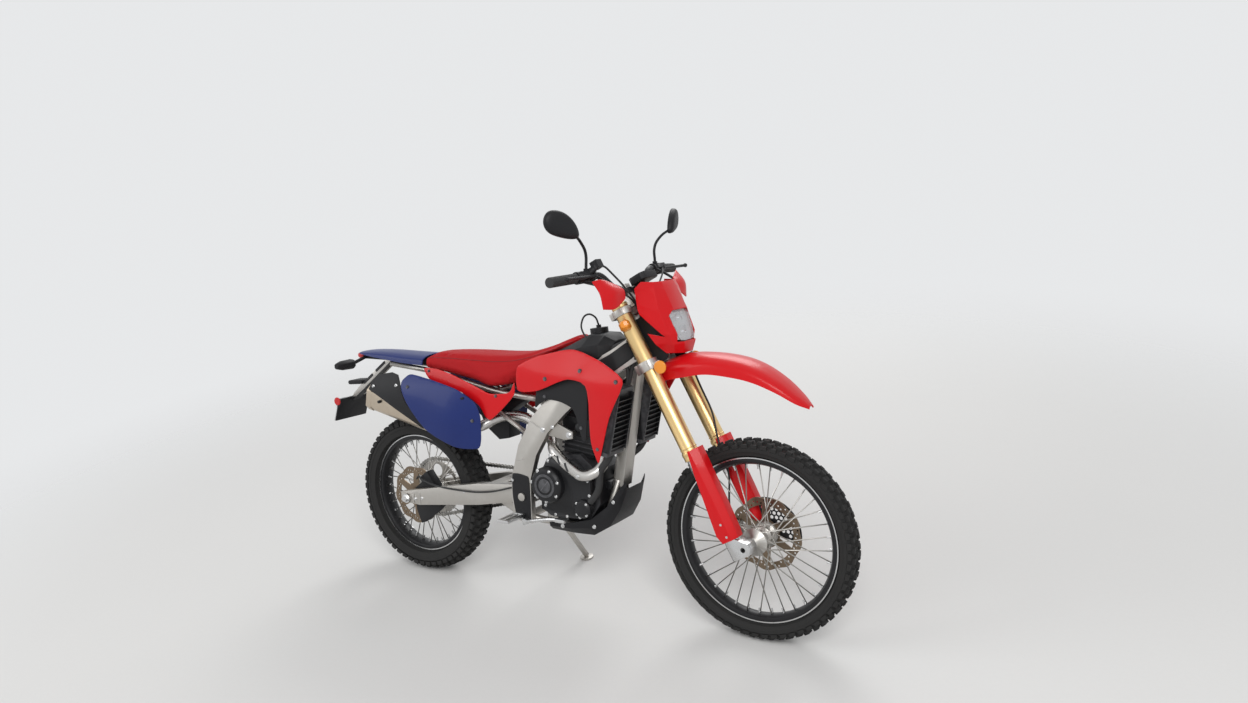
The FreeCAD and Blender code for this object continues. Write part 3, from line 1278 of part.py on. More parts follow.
def fork_outer_tubes():
    low, top, r = S.fork_outer_low, S.fork_outer_top, S.fork_outer_r
    inner = S.fork_inner_r + S.fit_gap
    outline = [(inner, low), (r + 2, low), (r + 2, low + 12), (r + 1, low + 14), (r + 3, low + 18), (r + 3, low + 26),
               (r, low + 32), (r, top - 18), (r + 1.5, top - 16), (r + 1.5, top - 4), (r - 3, top),
               (9, top), (9, top + 5), (0, top + 5), (0, low + 90), (inner, low + 90)]
    tube = Part.Face(polygon([Vector(x, 0, z) for x, z in outline])).revolve(Vector(0, 0, 0), Vector(0, 0, 1), 360)
    return both_sides(tube.translated(Vector(S.clamp_offset, -S.fork_gap / 2, 0)))


feature("fork_outer_tubes", fork_outer_tubes(), FORK_FRAME)


def fork_lowers():
    """Inner tubes, their axle lugs and the hollow front axle."""
    half = S.fork_gap / 2
    parts = []
    for side in (-1, 1):
        centre = Vector(S.clamp_offset, side * half, 0)
        tube = Part.makeCylinder(S.fork_inner_r, S.fork_outer_low + 80 - AXLE_S - 20, centre + Vector(0, 0, AXLE_S + 20))
        foot = Part.makeCylinder(S.fork_inner_r + 6, 92, centre + Vector(0, 0, AXLE_S - 22))
        y0 = side * half - 27
        lug = ruled([[Vector(x, y, s) for x, s in
                      ((S.clamp_offset - 12, AXLE_S - 24), (AXLE_F + 14, AXLE_S - 24), (AXLE_F + 26, AXLE_S - 6),
                       (AXLE_F + 26, AXLE_S + 12), (AXLE_F + 8, AXLE_S + 26), (S.clamp_offset + 6, AXLE_S + 58))]
                     for y in (y0, y0 + 54)])
        parts += [tube, foot, lug]
    reach = half + 27
    axle = Part.makeCylinder(S.front_axle_r, 2 * reach, Vector(AXLE_F, -reach, AXLE_S), Vector(0, 1, 0))
    bore = Part.makeCylinder(S.front_axle_bore_r, 2 * reach + 20, Vector(AXLE_F, -reach - 10, AXLE_S), Vector(0, 1, 0))
    return fused(*parts, axle).cut(bore)


feature("fork_lowers", fork_lowers(), FORK_FRAME)


def fork_guards():
    """A guard in front of each inner tube, narrower towards the axle."""
    half = S.fork_gap / 2

    def section(s, wide, depth, back):
        """From the inner edge round the front to the outer edge."""
        f = S.clamp_offset
        outline = [(f - back, -wide), (f + depth * 0.45, -wide), (f + depth, -wide * 0.55), (f + depth, wide * 0.45),
                   (f + depth * 0.45, wide), (f - min(back, 6), wide)]
        loop = outline + inset(outline, S.skin_t)[::-1]
        return [Vector(x, -half + y, s) for x, y in loop]

    # along the fork, half width, reach ahead of the tube and behind its middle
    rows = [(AXLE_S + 44, 34, 30, 20), (AXLE_S + 74, 34, 34, 30), (AXLE_S + 170, 35, 38, 18), (AXLE_S + 290, 36, 40, 2),
            (S.fork_outer_low + 30, 37, 42, -12)]
    guard = ruled([section(*row) for row in rows])
    bosses = [Part.makeCylinder(5, 6, Vector(S.clamp_offset, -half - S.fork_inner_r - 10, s), Vector(0, 1, 0))
              for s in (AXLE_S + 50,)]
    return both_sides(fused(guard, *bosses))


feature("fork_guards", fork_guards().cut(fork_lowers()), FORK_FRAME)


def disc_guard():
    """A perforated guard beside the front disc, carried by the left-hand axle lug."""
    y0, y1 = S.disc_y + S.disc_t / 2 + 5.6, S.disc_y + S.disc_t / 2 + 8.4
    reach, low = S.front_disc_r - 4, 40.0
    first, last, facets = math.radians(-8), math.radians(108), 12
    turns = [first + (last - first) * n / facets for n in range(facets + 1)]
    outline = [(reach * math.cos(a), reach * math.sin(a)) for a in turns]
    outline += [(low * math.cos(a), low * math.sin(a)) for a in turns[::-4]]
    pitch, hole_r = 17.0, 7.0
    holes = []
    for row in range(-3, 10):
        for column in range(-8, 9):
            x, z = pitch * (column + (row % 2) / 2), pitch * row * 0.866
            away, turn = math.hypot(x, z), math.atan2(z, x)
            margin = (hole_r + 4) / max(away, 1)
            if low + hole_r + 4 < away < reach - hole_r - 4 and first + margin < turn < last - margin:
                hexagon = [(x + hole_r * math.sin(math.radians(60 * n)), z + hole_r * math.cos(math.radians(60 * n)))
                           for n in range(6)]
                holes.append(side_plate(hexagon, y0 - 1, y1 + 1))
    plate = side_plate(outline, y0, y1).cut(Part.makeCompound(holes)).translated(FRONT_AXLE)
    arm = placed_box(FORK_FRAME, AXLE_F - 15, AXLE_F + 20, y0, y1, AXLE_S + 32, AXLE_S + 50)
    tab = placed_box(FORK_FRAME, AXLE_F - 15, AXLE_F - 9, y0, S.fork_gap / 2 - 27 - S.fit_gap, AXLE_S + 32, AXLE_S + 42)
    return fused(plate, arm, tab)


feature("disc_guard", disc_guard())


def front_fender():
    shell = channel([crowned(*row) for row in FRONT_FENDER], S.skin_t)
    block = Part.makeBox(60, 76, 12, Vector(0, -38, S.lower_clamp_s - S.fit_gap - 12))
    block.Placement = FORK_FRAME.multiply(block.Placement)
    web = ruled([[Vector(x, y, z) for y, z in ((-34, 917), (34, 917), (34, top - 4.5), (0, top + 2), (-34, top - 4.5))]
                 for x, top in ((1178, 942), (1192, 946.7))])
    return fused(shell, block, web)


feature("front_fender", front_fender())


# Headlight shell, from the top down: z, then for half the section the x and y of its nose, cheek and rear edge.
SHELL = [
    (1214, 1168, 40, 1158, 74, 1112, 84),
    (1192, 1180, 44, 1164, 88, 1098, 104),
    (1122, 1216, 48, 1186, 96, 1116, 116),
    (1040, 1252, 46, 1218, 88, 1152, 112),
    (1006, 1252, 40, 1226, 70, 1170, 96),
    (972, 1246, 30, 1222, 50, 1196, 66),
]


def headlight_shell():
    rings = []
    for z, x0, y0, x1, y1, x2, y2 in SHELL:
        right = [(x2, -y2), (x1, -y1), (x0, -y0)]
        outline = right + [(x, -y) for x, y in right[::-1]]
        loop = outline + inset(outline, -S.skin_t)[::-1]
        rings.append([Vector(x, y, z) for x, y in loop])
    shell = ruled(rings)
    window = ruled([[Vector(x, y, z) for y, z in ((-60, 1012), (60, 1012), (70, 1100), (52, 1118), (-52, 1118),
                                                  (-70, 1100))] for x in (1180, 1300)])
    notch = side_plate([(1060, 1124), (1112, 1116), (1206, 1030), (1150, 1042), (1060, 1042)], -130, 130)
    notch = notch.cut(box(1040, 1300, -58, 58, 1000, 1140))
    return shell.cut(Part.makeCompound([window, notch]))


feature("headlight_shell", headlight_shell())


def headlight_lens():
    """A clear lens in the shell's window, and the lamp's case behind it."""
    g = 0.6
    rings = [(1150, 44), (1206, 60)]
    case = ruled([[Vector(x, y, z) for y, z in ((-half, 1018), (half, 1018), (half + 6, 1094), (half - 10, 1112),
                                                (-half + 10, 1112), (-half - 6, 1094))] for x, half in rings])
    lens = ruled([[Vector(x + (1118 - z) * 0.36, y, z) for y, z in
                   ((-60 + g, 1012 + g), (60 - g, 1012 + g), (70 - g, 1100), (52, 1118 - g), (-52, 1118 - g),
                    (-70 + g, 1100))] for x in (1196, 1216)])
    return fused(lens, case)


feature("headlight_lens", headlight_lens().cut(headlight_shell()))


def bar_point(y, lift=0.0):
    """A point on the handlebar's straight end, at a distance from the middle."""
    share = (y - S.bar_bend_y) / (S.bar_half - S.bar_bend_y)
    bend_f, bend_s = S.bar_clamp_f + 12, S.bar_end_s - 6
    return Vector(bend_f + (S.bar_end_f - bend_f) * share, y, bend_s + (S.bar_end_s - bend_s) * share + lift)


def handlebar():
    half = [(S.bar_clamp_f, 84, S.bar_clamp_s), tuple(bar_point(S.bar_bend_y)), tuple(bar_point(S.bar_half))]
    right = [(f, -y, s) for f, y, s in half[::-1]]
    bar = bent_tube(right + half, S.bar_r - 1.5, 0.24)
    middle = Part.makeCylinder(S.bar_r, 2 * 56, Vector(S.bar_clamp_f, -56, S.bar_clamp_s), Vector(0, 1, 0))
    return fused(bar, middle)


feature("handlebar", handlebar(), FORK_FRAME)


def sleeve(y0, y1, outer, inner, cap=0.0):
    """A sleeve on the handlebar's left-hand end, closed by a cap past its end."""
    start, end = bar_point(y0), bar_point(y1)
    way = (end - start).normalize()
    made = rod(start, end, outer).cut(rod(start - way, end - way * cap, inner))
    return made


def grips():
    end = S.bar_half + 5
    inner = S.bar_r - 1.5 + S.fit_gap
    grip = sleeve(end - S.grip_l, end, S.grip_r, inner, 4.5)
    flange = sleeve(end - S.grip_l - 5, end - S.grip_l, S.grip_r + 8, inner)
    return both_sides(fused(grip, flange))


feature("grips", grips(), FORK_FRAME)


MIRROR_LIFT = 27.0


def bar_controls():
    """Lever perches, levers, the brake master cylinder and switch housings."""
    inner = S.bar_r - 1.5 + S.fit_gap
    g0 = S.bar_half + 5 - S.grip_l - 6
    switch = sleeve(g0 - 34, g0 - 1, 21, inner)
    perch = sleeve(g0 - 66, g0 - 38, 19, inner)
    pivot = bar_point(g0 - 52) + Vector(30, 0, -14)
    arm = rod(bar_point(g0 - 52) + Vector(17, 0, -8), pivot, 8)
    knuckle = Part.makeCylinder(10, 12, pivot - Vector(0, 0, 6))
    far = bar_point(S.bar_half - 8) + Vector(58, 0, -20)
    bend = bar_point(S.bar_half - 96) + Vector(50, 0, -20)
    blade = bent_tube([tuple(pivot), tuple(bend), tuple(far)], 5.5, 0.3)
    ball = Part.makeSphere(8, far)
    left = fused(switch, perch.fuse(arm).fuse(knuckle), blade, ball)
    bridge = box(pivot.x - 40, pivot.x - 10, pivot.y - 6, g0 - 2, bar_point(g0 - 36).z - 12, bar_point(g0 - 36).z + 12)
    bar_clear = rod(bar_point(g0 - 90), bar_point(g0), inner)
    up = FORK_FRAME.Rotation.inverted().multVec(Vector(0, 0, 1))
    mirror_boss = rod(bar_point(g0 - 52) + up * 10, bar_point(g0 - 52) + up * MIRROR_LIFT, 9)
    left = left.fuse([bridge, mirror_boss]).cut(bar_clear).removeSplitter()
    reservoir = box(pivot.x - 4, pivot.x + 24, -219.5, -186, pivot.z + 22, pivot.z + 50)
    neck = box(pivot.x - 18, pivot.x + 8, -228, -216.5, pivot.z + 14, pivot.z + 34)
    right = mirrored(left).fuse([reservoir, neck]).cut(mirrored(bar_clear)).removeSplitter()
    return Part.makeCompound([left, right])


feature("bar_controls", bar_controls(), FORK_FRAME)


def hand_guards():
    """Wind deflectors in front of the perches: folded shields on a stay each."""
    inner_y = S.bar_half + 5 - S.grip_l - 128
    corners = [Vector(f, inner_y + y, s) for f, y, s in (
        (106, 24, 1270), (114, 22, 1298), (104, 30, 1322), (90, 84, 1246), (112, 84, 1296), (96, 92, 1352),
        (72, 126, 1256), (88, 130, 1306), (78, 124, 1356))]
    triangles = [(0, 1, 3), (3, 1, 4), (1, 2, 4), (4, 2, 5), (3, 4, 6), (6, 4, 7), (4, 5, 7), (7, 5, 8)]
    plate = folded_plate(corners, triangles, Vector(-S.guard_t, 0, 0))
    hold = bar_point(inner_y + 45)
    tie = rod(Vector(hold.x + S.bar_r, hold.y, hold.z - 6), Vector(109, hold.y, 1302), 5)
    ring = sleeve(inner_y + 39, inner_y + 51, 19, S.bar_r - 1.5 + S.fit_gap)
    return both_sides(fused(plate, tie, ring))


feature("hand_guards", hand_guards(), FORK_FRAME)


def mirrors():
    """Two mirrors on bent stems from the perches, toed in towards the rider."""
    g0 = S.bar_half + 5 - S.grip_l - 6
    foot = FORK_FRAME.multVec(bar_point(g0 - 52)) + Vector(0, 0, MIRROR_LIFT + 0.3)
    top = Vector(1010, 330, 1388)
    stem = bent_tube([tuple(foot), (foot.x, foot.y, foot.z + 62), tuple(top)], 5, 0.45)
    nut = rod(foot, foot + Vector(0, 0, 14), 9)
    # depth and scale of each ring of the teardrop case, which comes to a corner at the stem
    rings = [(0, 0.86), (6, 1.0), (16, 0.94), (24, 0.66)]
    drop = [(-54, -46), (-46, -14), (-16, 20), (24, 40), (58, 38), (78, 18), (78, -8), (58, -32), (10, -46), (-30, -52)]
    head = ruled([[Vector(d, u * k, v * k) for u, v in drop] for d, k in rings])
    head.Placement = Placement(Vector(990, 352, 1420), Rotation(Vector(0, 0, 1), 17))
    return both_sides(fused(stem, nut, head))


feature("mirrors", mirrors())


def instrument():
    """The display on its stay behind the headlight shell."""
    case = ruled([[Vector(x, y, z) for y, z in rounded(52, 34, 22)] for x in (0, 24)])
    case.Placement = Placement(head_point(1326, 98), Rotation(Vector(0, 1, 0), -118))
    lug = placed_box(FORK_FRAME, S.bar_clamp_f + 21.3, 92, -12, 12, S.bar_clamp_s - 8, S.bar_clamp_s + 6)
    pads = [placed_box(FORK_FRAME, S.bar_clamp_f + 21.3, S.bar_clamp_f + 28, y - 10, y + 10, S.bar_clamp_s - 12,
                       S.bar_clamp_s + 6) for y in (-39, 39)]
    tie = placed_box(FORK_FRAME, S.bar_clamp_f + 22, S.bar_clamp_f + 28, -39, 39, S.bar_clamp_s - 8, S.bar_clamp_s + 2)
    return fused(case, lug, tie, *pads)


feature("instrument", instrument())


def front_indicators():
    """Amber lamps beside the fork's top, and round side reflectors on the lower clamp."""
    half = S.fork_gap / 2
    lamp = placed(lamp_shell(62, 40, 36, 0.6), 36, -half - S.fork_outer_r - 14, 1196, Vector(0, 0, 1), -60)
    stalk = cross_rod(32, 1196, 6, -half - S.fork_outer_r - 18, -half - S.fork_outer_r - 0.3)
    reflector = Part.makeCylinder(22, 6, Vector(76, -half - 25.3, 1022), Vector(0, 1, 0))
    return Part.makeCompound([fused(lamp, stalk), mirrored(fused(lamp, stalk)), reflector, mirrored(reflector)])


feature("front_indicators", front_indicators(), FORK_FRAME)


HOSE = [(72, -185.6, 1412), (68, -150, 1408), (66, -90, 1332), (60, -40, 1236), (56, 20, 1140), (72, 88, 1040),
        (62, 90, 924), (62, 88, 818), (48, 60, 730), (30, 58, 600), (-20, 62, 520), (-46, 66, 466)]


def brake_hose():
    return bent_tube(HOSE, 3.5, 0.4)


def front_brake():
    """Front caliper behind the left-hand fork leg, bolted to its lug."""
    made = caliper(0, 12, S.front_disc_r - 8, -62, 1)
    made = made.translated(Vector(AXLE_F, S.disc_y, AXLE_S))
    return made.cut(fork_lowers())


feature("front_brake", front_brake().cut(Part.makeCompound([fork_guards(), brake_hose()])), FORK_FRAME)

feature("brake_hose", brake_hose(), FORK_FRAME)

# Lean, origin and export.
doc.recompute()
leaned = Placement(Vector(), Rotation(Vector(1, 0, 0), -S.lean))
for thing, placement in pieces:
    thing.Placement = leaned.multiply(placement)
doc.recompute()
whole_box = FreeCAD.BoundBox()
for thing, _ in pieces:
    whole_box.add(thing.Shape.optimalBoundingBox(False))
shift = Vector(-(whole_box.XMin + whole_box.XMax) / 2, -(whole_box.YMin + whole_box.YMax) / 2, -whole_box.ZMin)
to_row = Placement(shift, Rotation(Vector(1, 0, 0), -S.lean))
for thing, placement in pieces:
    thing.Placement = to_row.multiply(placement)
doc.recompute()

os.makedirs("parts", exist_ok=True)
for thing in doc.Objects:
    if "Invalid" in thing.State or "Error" in thing.State:
        raise RuntimeError(f"{thing.Label} failed")
broken = [thing.Label for thing, _ in pieces if thing.Shape.isNull() or not thing.Shape.isValid()]
if broken:
    raise RuntimeError("no valid shape: " + ", ".join(broken))
for thing, _ in pieces:
    thing.Shape.exportStep(f"parts/{thing.Label}.step")
print("nodes", len(pieces), "origin shift", [round(v, 4) for v in shift])
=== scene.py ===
# %% [markdown]
# # A dual sport motorcycle
# This lesson dresses a motorcycle that was drawn in CAD. The CAD model is the fixed frame: its pieces
# say where everything is and how it moves, and here they get their paint, rubber and metal. Where the
# real piece is softer, rounder or finer than the CAD solid, a new piece is modelled over it.

# %% Load the frame
import bpy
import bmesh
import json
import math
from mathutils import Matrix, Vector
from mathutils.geometry import delaunay_2d_cdt


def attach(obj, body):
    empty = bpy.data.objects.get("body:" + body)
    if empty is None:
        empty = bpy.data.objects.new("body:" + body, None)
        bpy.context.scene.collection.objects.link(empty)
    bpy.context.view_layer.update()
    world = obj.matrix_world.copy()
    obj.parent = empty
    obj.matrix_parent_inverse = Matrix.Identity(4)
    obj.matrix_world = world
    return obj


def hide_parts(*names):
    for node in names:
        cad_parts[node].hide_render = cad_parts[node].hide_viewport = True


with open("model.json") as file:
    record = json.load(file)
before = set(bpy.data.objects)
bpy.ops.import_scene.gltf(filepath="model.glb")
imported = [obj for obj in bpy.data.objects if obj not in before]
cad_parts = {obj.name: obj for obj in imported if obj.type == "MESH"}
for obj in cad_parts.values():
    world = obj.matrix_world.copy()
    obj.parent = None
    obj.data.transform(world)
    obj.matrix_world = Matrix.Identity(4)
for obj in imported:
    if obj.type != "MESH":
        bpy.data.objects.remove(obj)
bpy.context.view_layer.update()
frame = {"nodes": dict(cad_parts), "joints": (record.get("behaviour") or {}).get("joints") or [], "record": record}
print("CAD pieces:", len(frame["nodes"]))

# %% [markdown]
# ## Two frames to draw in
# The motorcycle leans on its side stand, which is awkward to draw in. So every new piece is drawn in an
# upright bike frame, in millimetres: x forwards from the rear axle, y to the rider's left, z up from the
# ground. One matrix then leans it and puts it in the model's own frame. Pieces on the fork use a second
# frame that lies along the steering axis, because there a fork leg is simply a vertical tube.

# %% Frames
LEAN, RAKE = math.radians(10.5), math.radians(28.5)
WHEELBASE, FRONT_R, REAR_R = 1500.0, 347.0, 325.0
CLAMP_OFFSET, AXLE_LEAD = 24.0, 31.0
TRAIL = (FRONT_R * math.sin(RAKE) - CLAMP_OFFSET - AXLE_LEAD) / math.cos(RAKE)
HEAD_X = WHEELBASE + TRAIL
AXLE_S = TRAIL * math.sin(RAKE) + FRONT_R * math.cos(RAKE)
MM = Matrix.Scale(0.001, 4)
SIDES = ((-1, "right"), (1, "left"))

hinge = {joint["name"]: joint for joint in frame["joints"]}
leaned = Matrix.Rotation(-LEAN, 4, "X")
rear_axle = Vector(hinge["rear_wheel_spin"]["pos_m"])
shift = rear_axle - leaned @ Vector((0, 0, REAR_R / 1000))
BIKE = Matrix.Translation(shift) @ leaned @ MM
FORK = BIKE @ Matrix.Translation((HEAD_X, 0, 0)) @ Matrix.Rotation(-RAKE, 4, "Y")
print("rear axle in the model's frame:", [round(v, 3) for v in rear_axle])

# %% [markdown]
# ## Camera
# The camera stands where the photographer stood. Its place was worked out from the ellipses of both
# wheels, so the motorcycle fills the picture as it does in the photograph.

# %% Camera
def linked(name, data):
    """An object in the scene, made of a mesh, a curve, a lamp or a camera."""
    made = bpy.data.objects.new(name, data)
    bpy.context.scene.collection.objects.link(made)
    return made


# the eye in the bike frame and the axes of the view, then the focal length and the width in pixels
EYE = Vector((2780.28, -2900.93, 1432.17))
RIGHT, UP = Vector((0.85221, 0.52241, -0.02876)), Vector((-0.04750, 0.13201, 0.99011))
AHEAD = Vector((-0.52104, 0.84241, -0.13732))
FOCAL, WIDTH, SENSOR = 967.39, 1248, 36.0
camera = linked("camera", bpy.data.cameras.new("camera"))
camera.data.sensor_width, camera.data.clip_end = SENSOR, 60.0
camera.data.lens = FOCAL / WIDTH * SENSOR
camera.matrix_world = Matrix.Translation(BIKE @ EYE) @ leaned @ Matrix((RIGHT, UP, -AHEAD)).transposed().to_4x4()
bpy.context.scene.camera = camera
print("camera at", [round(v, 2) for v in camera.matrix_world.translation], "lens", round(camera.data.lens, 1))

# %% [markdown]
# ## Floor and light
# A pale floor that fades out of sight keeps attention on the machine. Two large lamps and a grey sky
# give soft studio light: one high key light in front, one fill light from the other side.

# %% Floor and light
def lamp(name, place, aim, size, power):
    """A square area lamp that points at a spot."""
    data = bpy.data.lights.new(name, "AREA")
    data.energy, data.size = power, size
    made = linked(name, data)
    made.location = place
    made.rotation_euler = (Vector(aim) - Vector(place)).to_track_quat("-Z", "Y").to_euler()


def new_node(tree, kind, inputs=(), **settings):
    """A node with its settings. Each input gets a value, or a link from another node's socket."""
    node = tree.nodes.new(kind)
    for setting, value in settings.items():
        setattr(node, setting, value)
    for label, value in dict(inputs).items():
        if isinstance(value, bpy.types.NodeSocket):
            tree.links.new(value, node.inputs[label])
        else:
            node.inputs[label].default_value = value
    return node


BACKDROP = (0.80, 0.81, 0.82, 1)
SKY, SKY_STRENGTH = (0.83, 0.85, 0.88, 1), 0.5
floor_mesh = bpy.data.meshes.new("floor")
floor_mesh.from_pydata([(-9, -9, 0), (9, -9, 0), (9, 9, 0), (-9, 9, 0)], [], [(0, 1, 2, 3)])
floor = linked("floor", floor_mesh)
lamp("key_lamp", (3.6, -4.2, 5.2), (0.1, 0, 0.6), 3.4, 225)
lamp("fill_lamp", (-4.4, -3.4, 3.6), (0, 0, 0.6), 3.4, 80)
lamp("rim_lamp", (-1.0, 4.6, 4.2), (0, 0, 0.6), 3.0, 120)
world = bpy.data.worlds.new("studio")
world.use_nodes = True
studio = world.node_tree
sky = studio.nodes["Background"]
sky.inputs["Color"].default_value, sky.inputs["Strength"].default_value = SKY, SKY_STRENGTH
# what the camera sees, and what mirrors and lenses show, is the backdrop; the rest is lit by the sky
rays = new_node(studio, "ShaderNodeLightPath")
mirrored = new_node(studio, "ShaderNodeMath", {0: rays.outputs["Is Glossy Ray"],
                                               1: rays.outputs["Is Transmission Ray"]}, operation="MAXIMUM")
either = new_node(studio, "ShaderNodeMix", {"Factor": rays.outputs["Is Camera Ray"], "A": mirrored.outputs[0],
                                            "B": 1.0}, data_type="FLOAT")
seen = new_node(studio, "ShaderNodeBackground", {"Color": BACKDROP})
blend = new_node(studio, "ShaderNodeMixShader", {"Fac": either.outputs["Result"], 1: sky.outputs[0],
                                                 2: seen.outputs[0]})
studio.links.new(blend.outputs[0], studio.nodes["World Output"].inputs["Surface"])
bpy.context.scene.world = world
bpy.context.scene.view_settings.view_transform = "Standard"
print("lamps:", len(bpy.data.lights))

# %% [markdown]
# ## Shader groups
# Real surfaces are never one flat value. Three small node groups give that variation to every material:
# a slow drift of tone, fine grain for the bump, and wear that shows only on outer edges.

# %% Shader groups
def new_tree(name, kind, inputs, outputs):
    """An empty node group. inputs: name, kind of socket and, for a number, its usual value."""
    tree = bpy.data.node_groups.new(name, kind)
    for label, sort, *value in inputs:
        socket = tree.interface.new_socket(label, in_out="INPUT", socket_type="NodeSocket" + sort)
        if value:
            socket.default_value = value[0]
    for label, sort in outputs:
        tree.interface.new_socket(label, in_out="OUTPUT", socket_type="NodeSocket" + sort)
    return tree, tree.nodes.new("NodeGroupInput").outputs, tree.nodes.new("NodeGroupOutput").inputs


def math_node(tree, kind, *values):
    """The result of a Math node whose inputs are numbers or sockets."""
    return new_node(tree, "ShaderNodeMath", enumerate(values), operation=kind).outputs[0]


def drift_group():
    """Slow and quick noise mixed, from 0 to 1, for tone and gloss that vary over a surface."""
    group, source, out = new_tree("tone_drift", "ShaderNodeTree", [
        ("Scale", "Float", 9.0), ("Fine scale", "Float", 70.0)], [("Value", "Float")])
    place = new_node(group, "ShaderNodeTexCoord").outputs["Object"]
    slow, quick = (new_node(group, "ShaderNodeTexNoise", {"Vector": place, "Scale": source[label], "Detail": 3.0})
                   for label in ("Scale", "Fine scale"))
    both = math_node(group, "MULTIPLY_ADD", slow.outputs["Fac"], 0.65,
                     math_node(group, "MULTIPLY", quick.outputs["Fac"], 0.35))
    group.links.new(both, out["Value"])
    return group


def grain_group():
    """Height of a fine moulded or cast grain, with a number of cells per metre."""
    group, source, out = new_tree("fine_grain", "ShaderNodeTree", [
        ("Cells", "Float", 900.0), ("Stretch", "Float", 1.0)], [("Height", "Float")])
    place = new_node(group, "ShaderNodeTexCoord").outputs["Object"]
    scale = new_node(group, "ShaderNodeCombineXYZ", {"X": 1.0, "Y": 1.0, "Z": source["Stretch"]})
    mapping = new_node(group, "ShaderNodeMapping", {"Vector": place, "Scale": scale.outputs["Vector"]})
    cells, noise = (new_node(group, kind, {"Vector": mapping.outputs["Vector"], "Scale": source["Cells"]})
                    for kind in ("ShaderNodeTexVoronoi", "ShaderNodeTexNoise"))
    both = math_node(group, "MULTIPLY_ADD", cells.outputs["Distance"], 0.6,
                     math_node(group, "MULTIPLY", noise.outputs["Fac"], 0.6))
    group.links.new(both, out["Height"])
    return group


def wear_group():
    """A mask of outer edges, broken up by noise, where paint or anodising rubs off."""
    group, source, out = new_tree("edge_wear", "ShaderNodeTree", [
        ("Edge", "Float", 0.53), ("Softness", "Float", 14.0), ("Breakup", "Float", 60.0)], [("Mask", "Float")])
    edge = new_node(group, "ShaderNodeNewGeometry").outputs["Pointiness"]
    place = new_node(group, "ShaderNodeTexCoord").outputs["Object"]
    noise = new_node(group, "ShaderNodeTexNoise", {"Vector": place, "Scale": source["Breakup"]})
    raised = math_node(group, "MULTIPLY", math_node(group, "SUBTRACT", edge, source["Edge"]), source["Softness"])
    mask = math_node(group, "MULTIPLY", raised, noise.outputs["Fac"])
    clamp = new_node(group, "ShaderNodeClamp", {"Value": mask})
    group.links.new(clamp.outputs["Result"], out["Mask"])
    return group


DRIFT, GRAIN, WEAR = drift_group(), grain_group(), wear_group()
print("shader groups:", [group.name for group in (DRIFT, GRAIN, WEAR)])

# %% [markdown]
# ## Materials
# One function builds most finishes, because they differ only in numbers: two close tones, a range of
# roughness, how metallic they are, the size of their grain and what shows where edges wear. Every
# constant sits on the Principled shader's own socket, so an export keeps it.

# %% Materials
GRAIN_DEPTH = 0.0004
GLOSS = "Specular IOR Level"


def mixed_colour(tree, factor, first, second):
    """A colour between two others, by a factor socket. Colours are (r, g, b) or sockets."""
    first, second = ((*tone, 1) if isinstance(tone, tuple) else tone for tone in (first, second))
    mix = new_node(tree, "ShaderNodeMix", {"Factor": factor, "A": first, "B": second}, data_type="RGBA")
    return mix.outputs["Result"]


def finish(name, tone, other, rough, metal=0.0, cells=900.0, bump=0.1, worn=None, stretch=1.0, drift=9.0, own=()):
    """A material: two tones, a range of roughness, a grain, a worn tone and values of the shader's own."""
    material = bpy.data.materials.new(name)
    material.use_nodes = True
    tree = material.node_tree
    shader = tree.nodes["Principled BSDF"]
    for label, value in {"Metallic": metal, **dict(own)}.items():
        shader.inputs[label].default_value = value
    vary = new_node(tree, "ShaderNodeGroup", {"Scale": drift}, node_tree=DRIFT).outputs["Value"]
    colour = mixed_colour(tree, vary, tone, other)
    if worn:
        mask = new_node(tree, "ShaderNodeGroup", node_tree=WEAR).outputs["Mask"]
        colour = mixed_colour(tree, mask, colour, worn)
    tree.links.new(colour, shader.inputs["Base Color"])
    spread = new_node(tree, "ShaderNodeMapRange", {"Value": vary, "To Min": rough[0], "To Max": rough[1]})
    tree.links.new(spread.outputs["Result"], shader.inputs["Roughness"])
    if bump:
        grain = new_node(tree, "ShaderNodeGroup", {"Cells": cells, "Stretch": stretch}, node_tree=GRAIN)
        relief = new_node(tree, "ShaderNodeBump", {"Strength": bump, "Distance": GRAIN_DEPTH,
                                                   "Height": grain.outputs["Height"]})
        tree.links.new(relief.outputs["Normal"], shader.inputs["Normal"])
    return material


red_plastic = finish("red_plastic", (0.64, 0.003, 0.007), (0.70, 0.006, 0.010), (0.28, 0.4), cells=1500,
                     bump=0.05, own={GLOSS: 0.22, "Coat Weight": 0.16, "Coat Roughness": 0.12})
blue_plastic = finish("blue_plastic", (0.008, 0.020, 0.125), (0.013, 0.030, 0.165), (0.3, 0.42), cells=1500,
                      bump=0.05, own={GLOSS: 0.25, "Coat Weight": 0.08})
black_plastic = finish("black_plastic", (0.008, 0.008, 0.009), (0.015, 0.015, 0.017), (0.42, 0.58), cells=1300,
                       bump=0.3, own={GLOSS: 0.26})
black_paint = finish("black_paint", (0.008, 0.008, 0.009), (0.015, 0.015, 0.017), (0.32, 0.46), cells=700,
                     bump=0.2, worn=(0.16, 0.16, 0.17), own={GLOSS: 0.32})
bare_aluminium = finish("bare_aluminium", (0.41, 0.39, 0.36), (0.51, 0.49, 0.46), (0.36, 0.5), metal=1.0,
                        cells=520, bump=0.16, worn=(0.75, 0.74, 0.72))
cast_aluminium = finish("cast_aluminium", (0.36, 0.35, 0.33), (0.5, 0.485, 0.46), (0.46, 0.62), metal=1.0,
                        cells=420, bump=0.4, worn=(0.75, 0.73, 0.7))
gold_anodised = finish("gold_anodised", (0.74, 0.52, 0.23), (0.82, 0.60, 0.30), (0.3, 0.38), metal=1.0, bump=0.0)
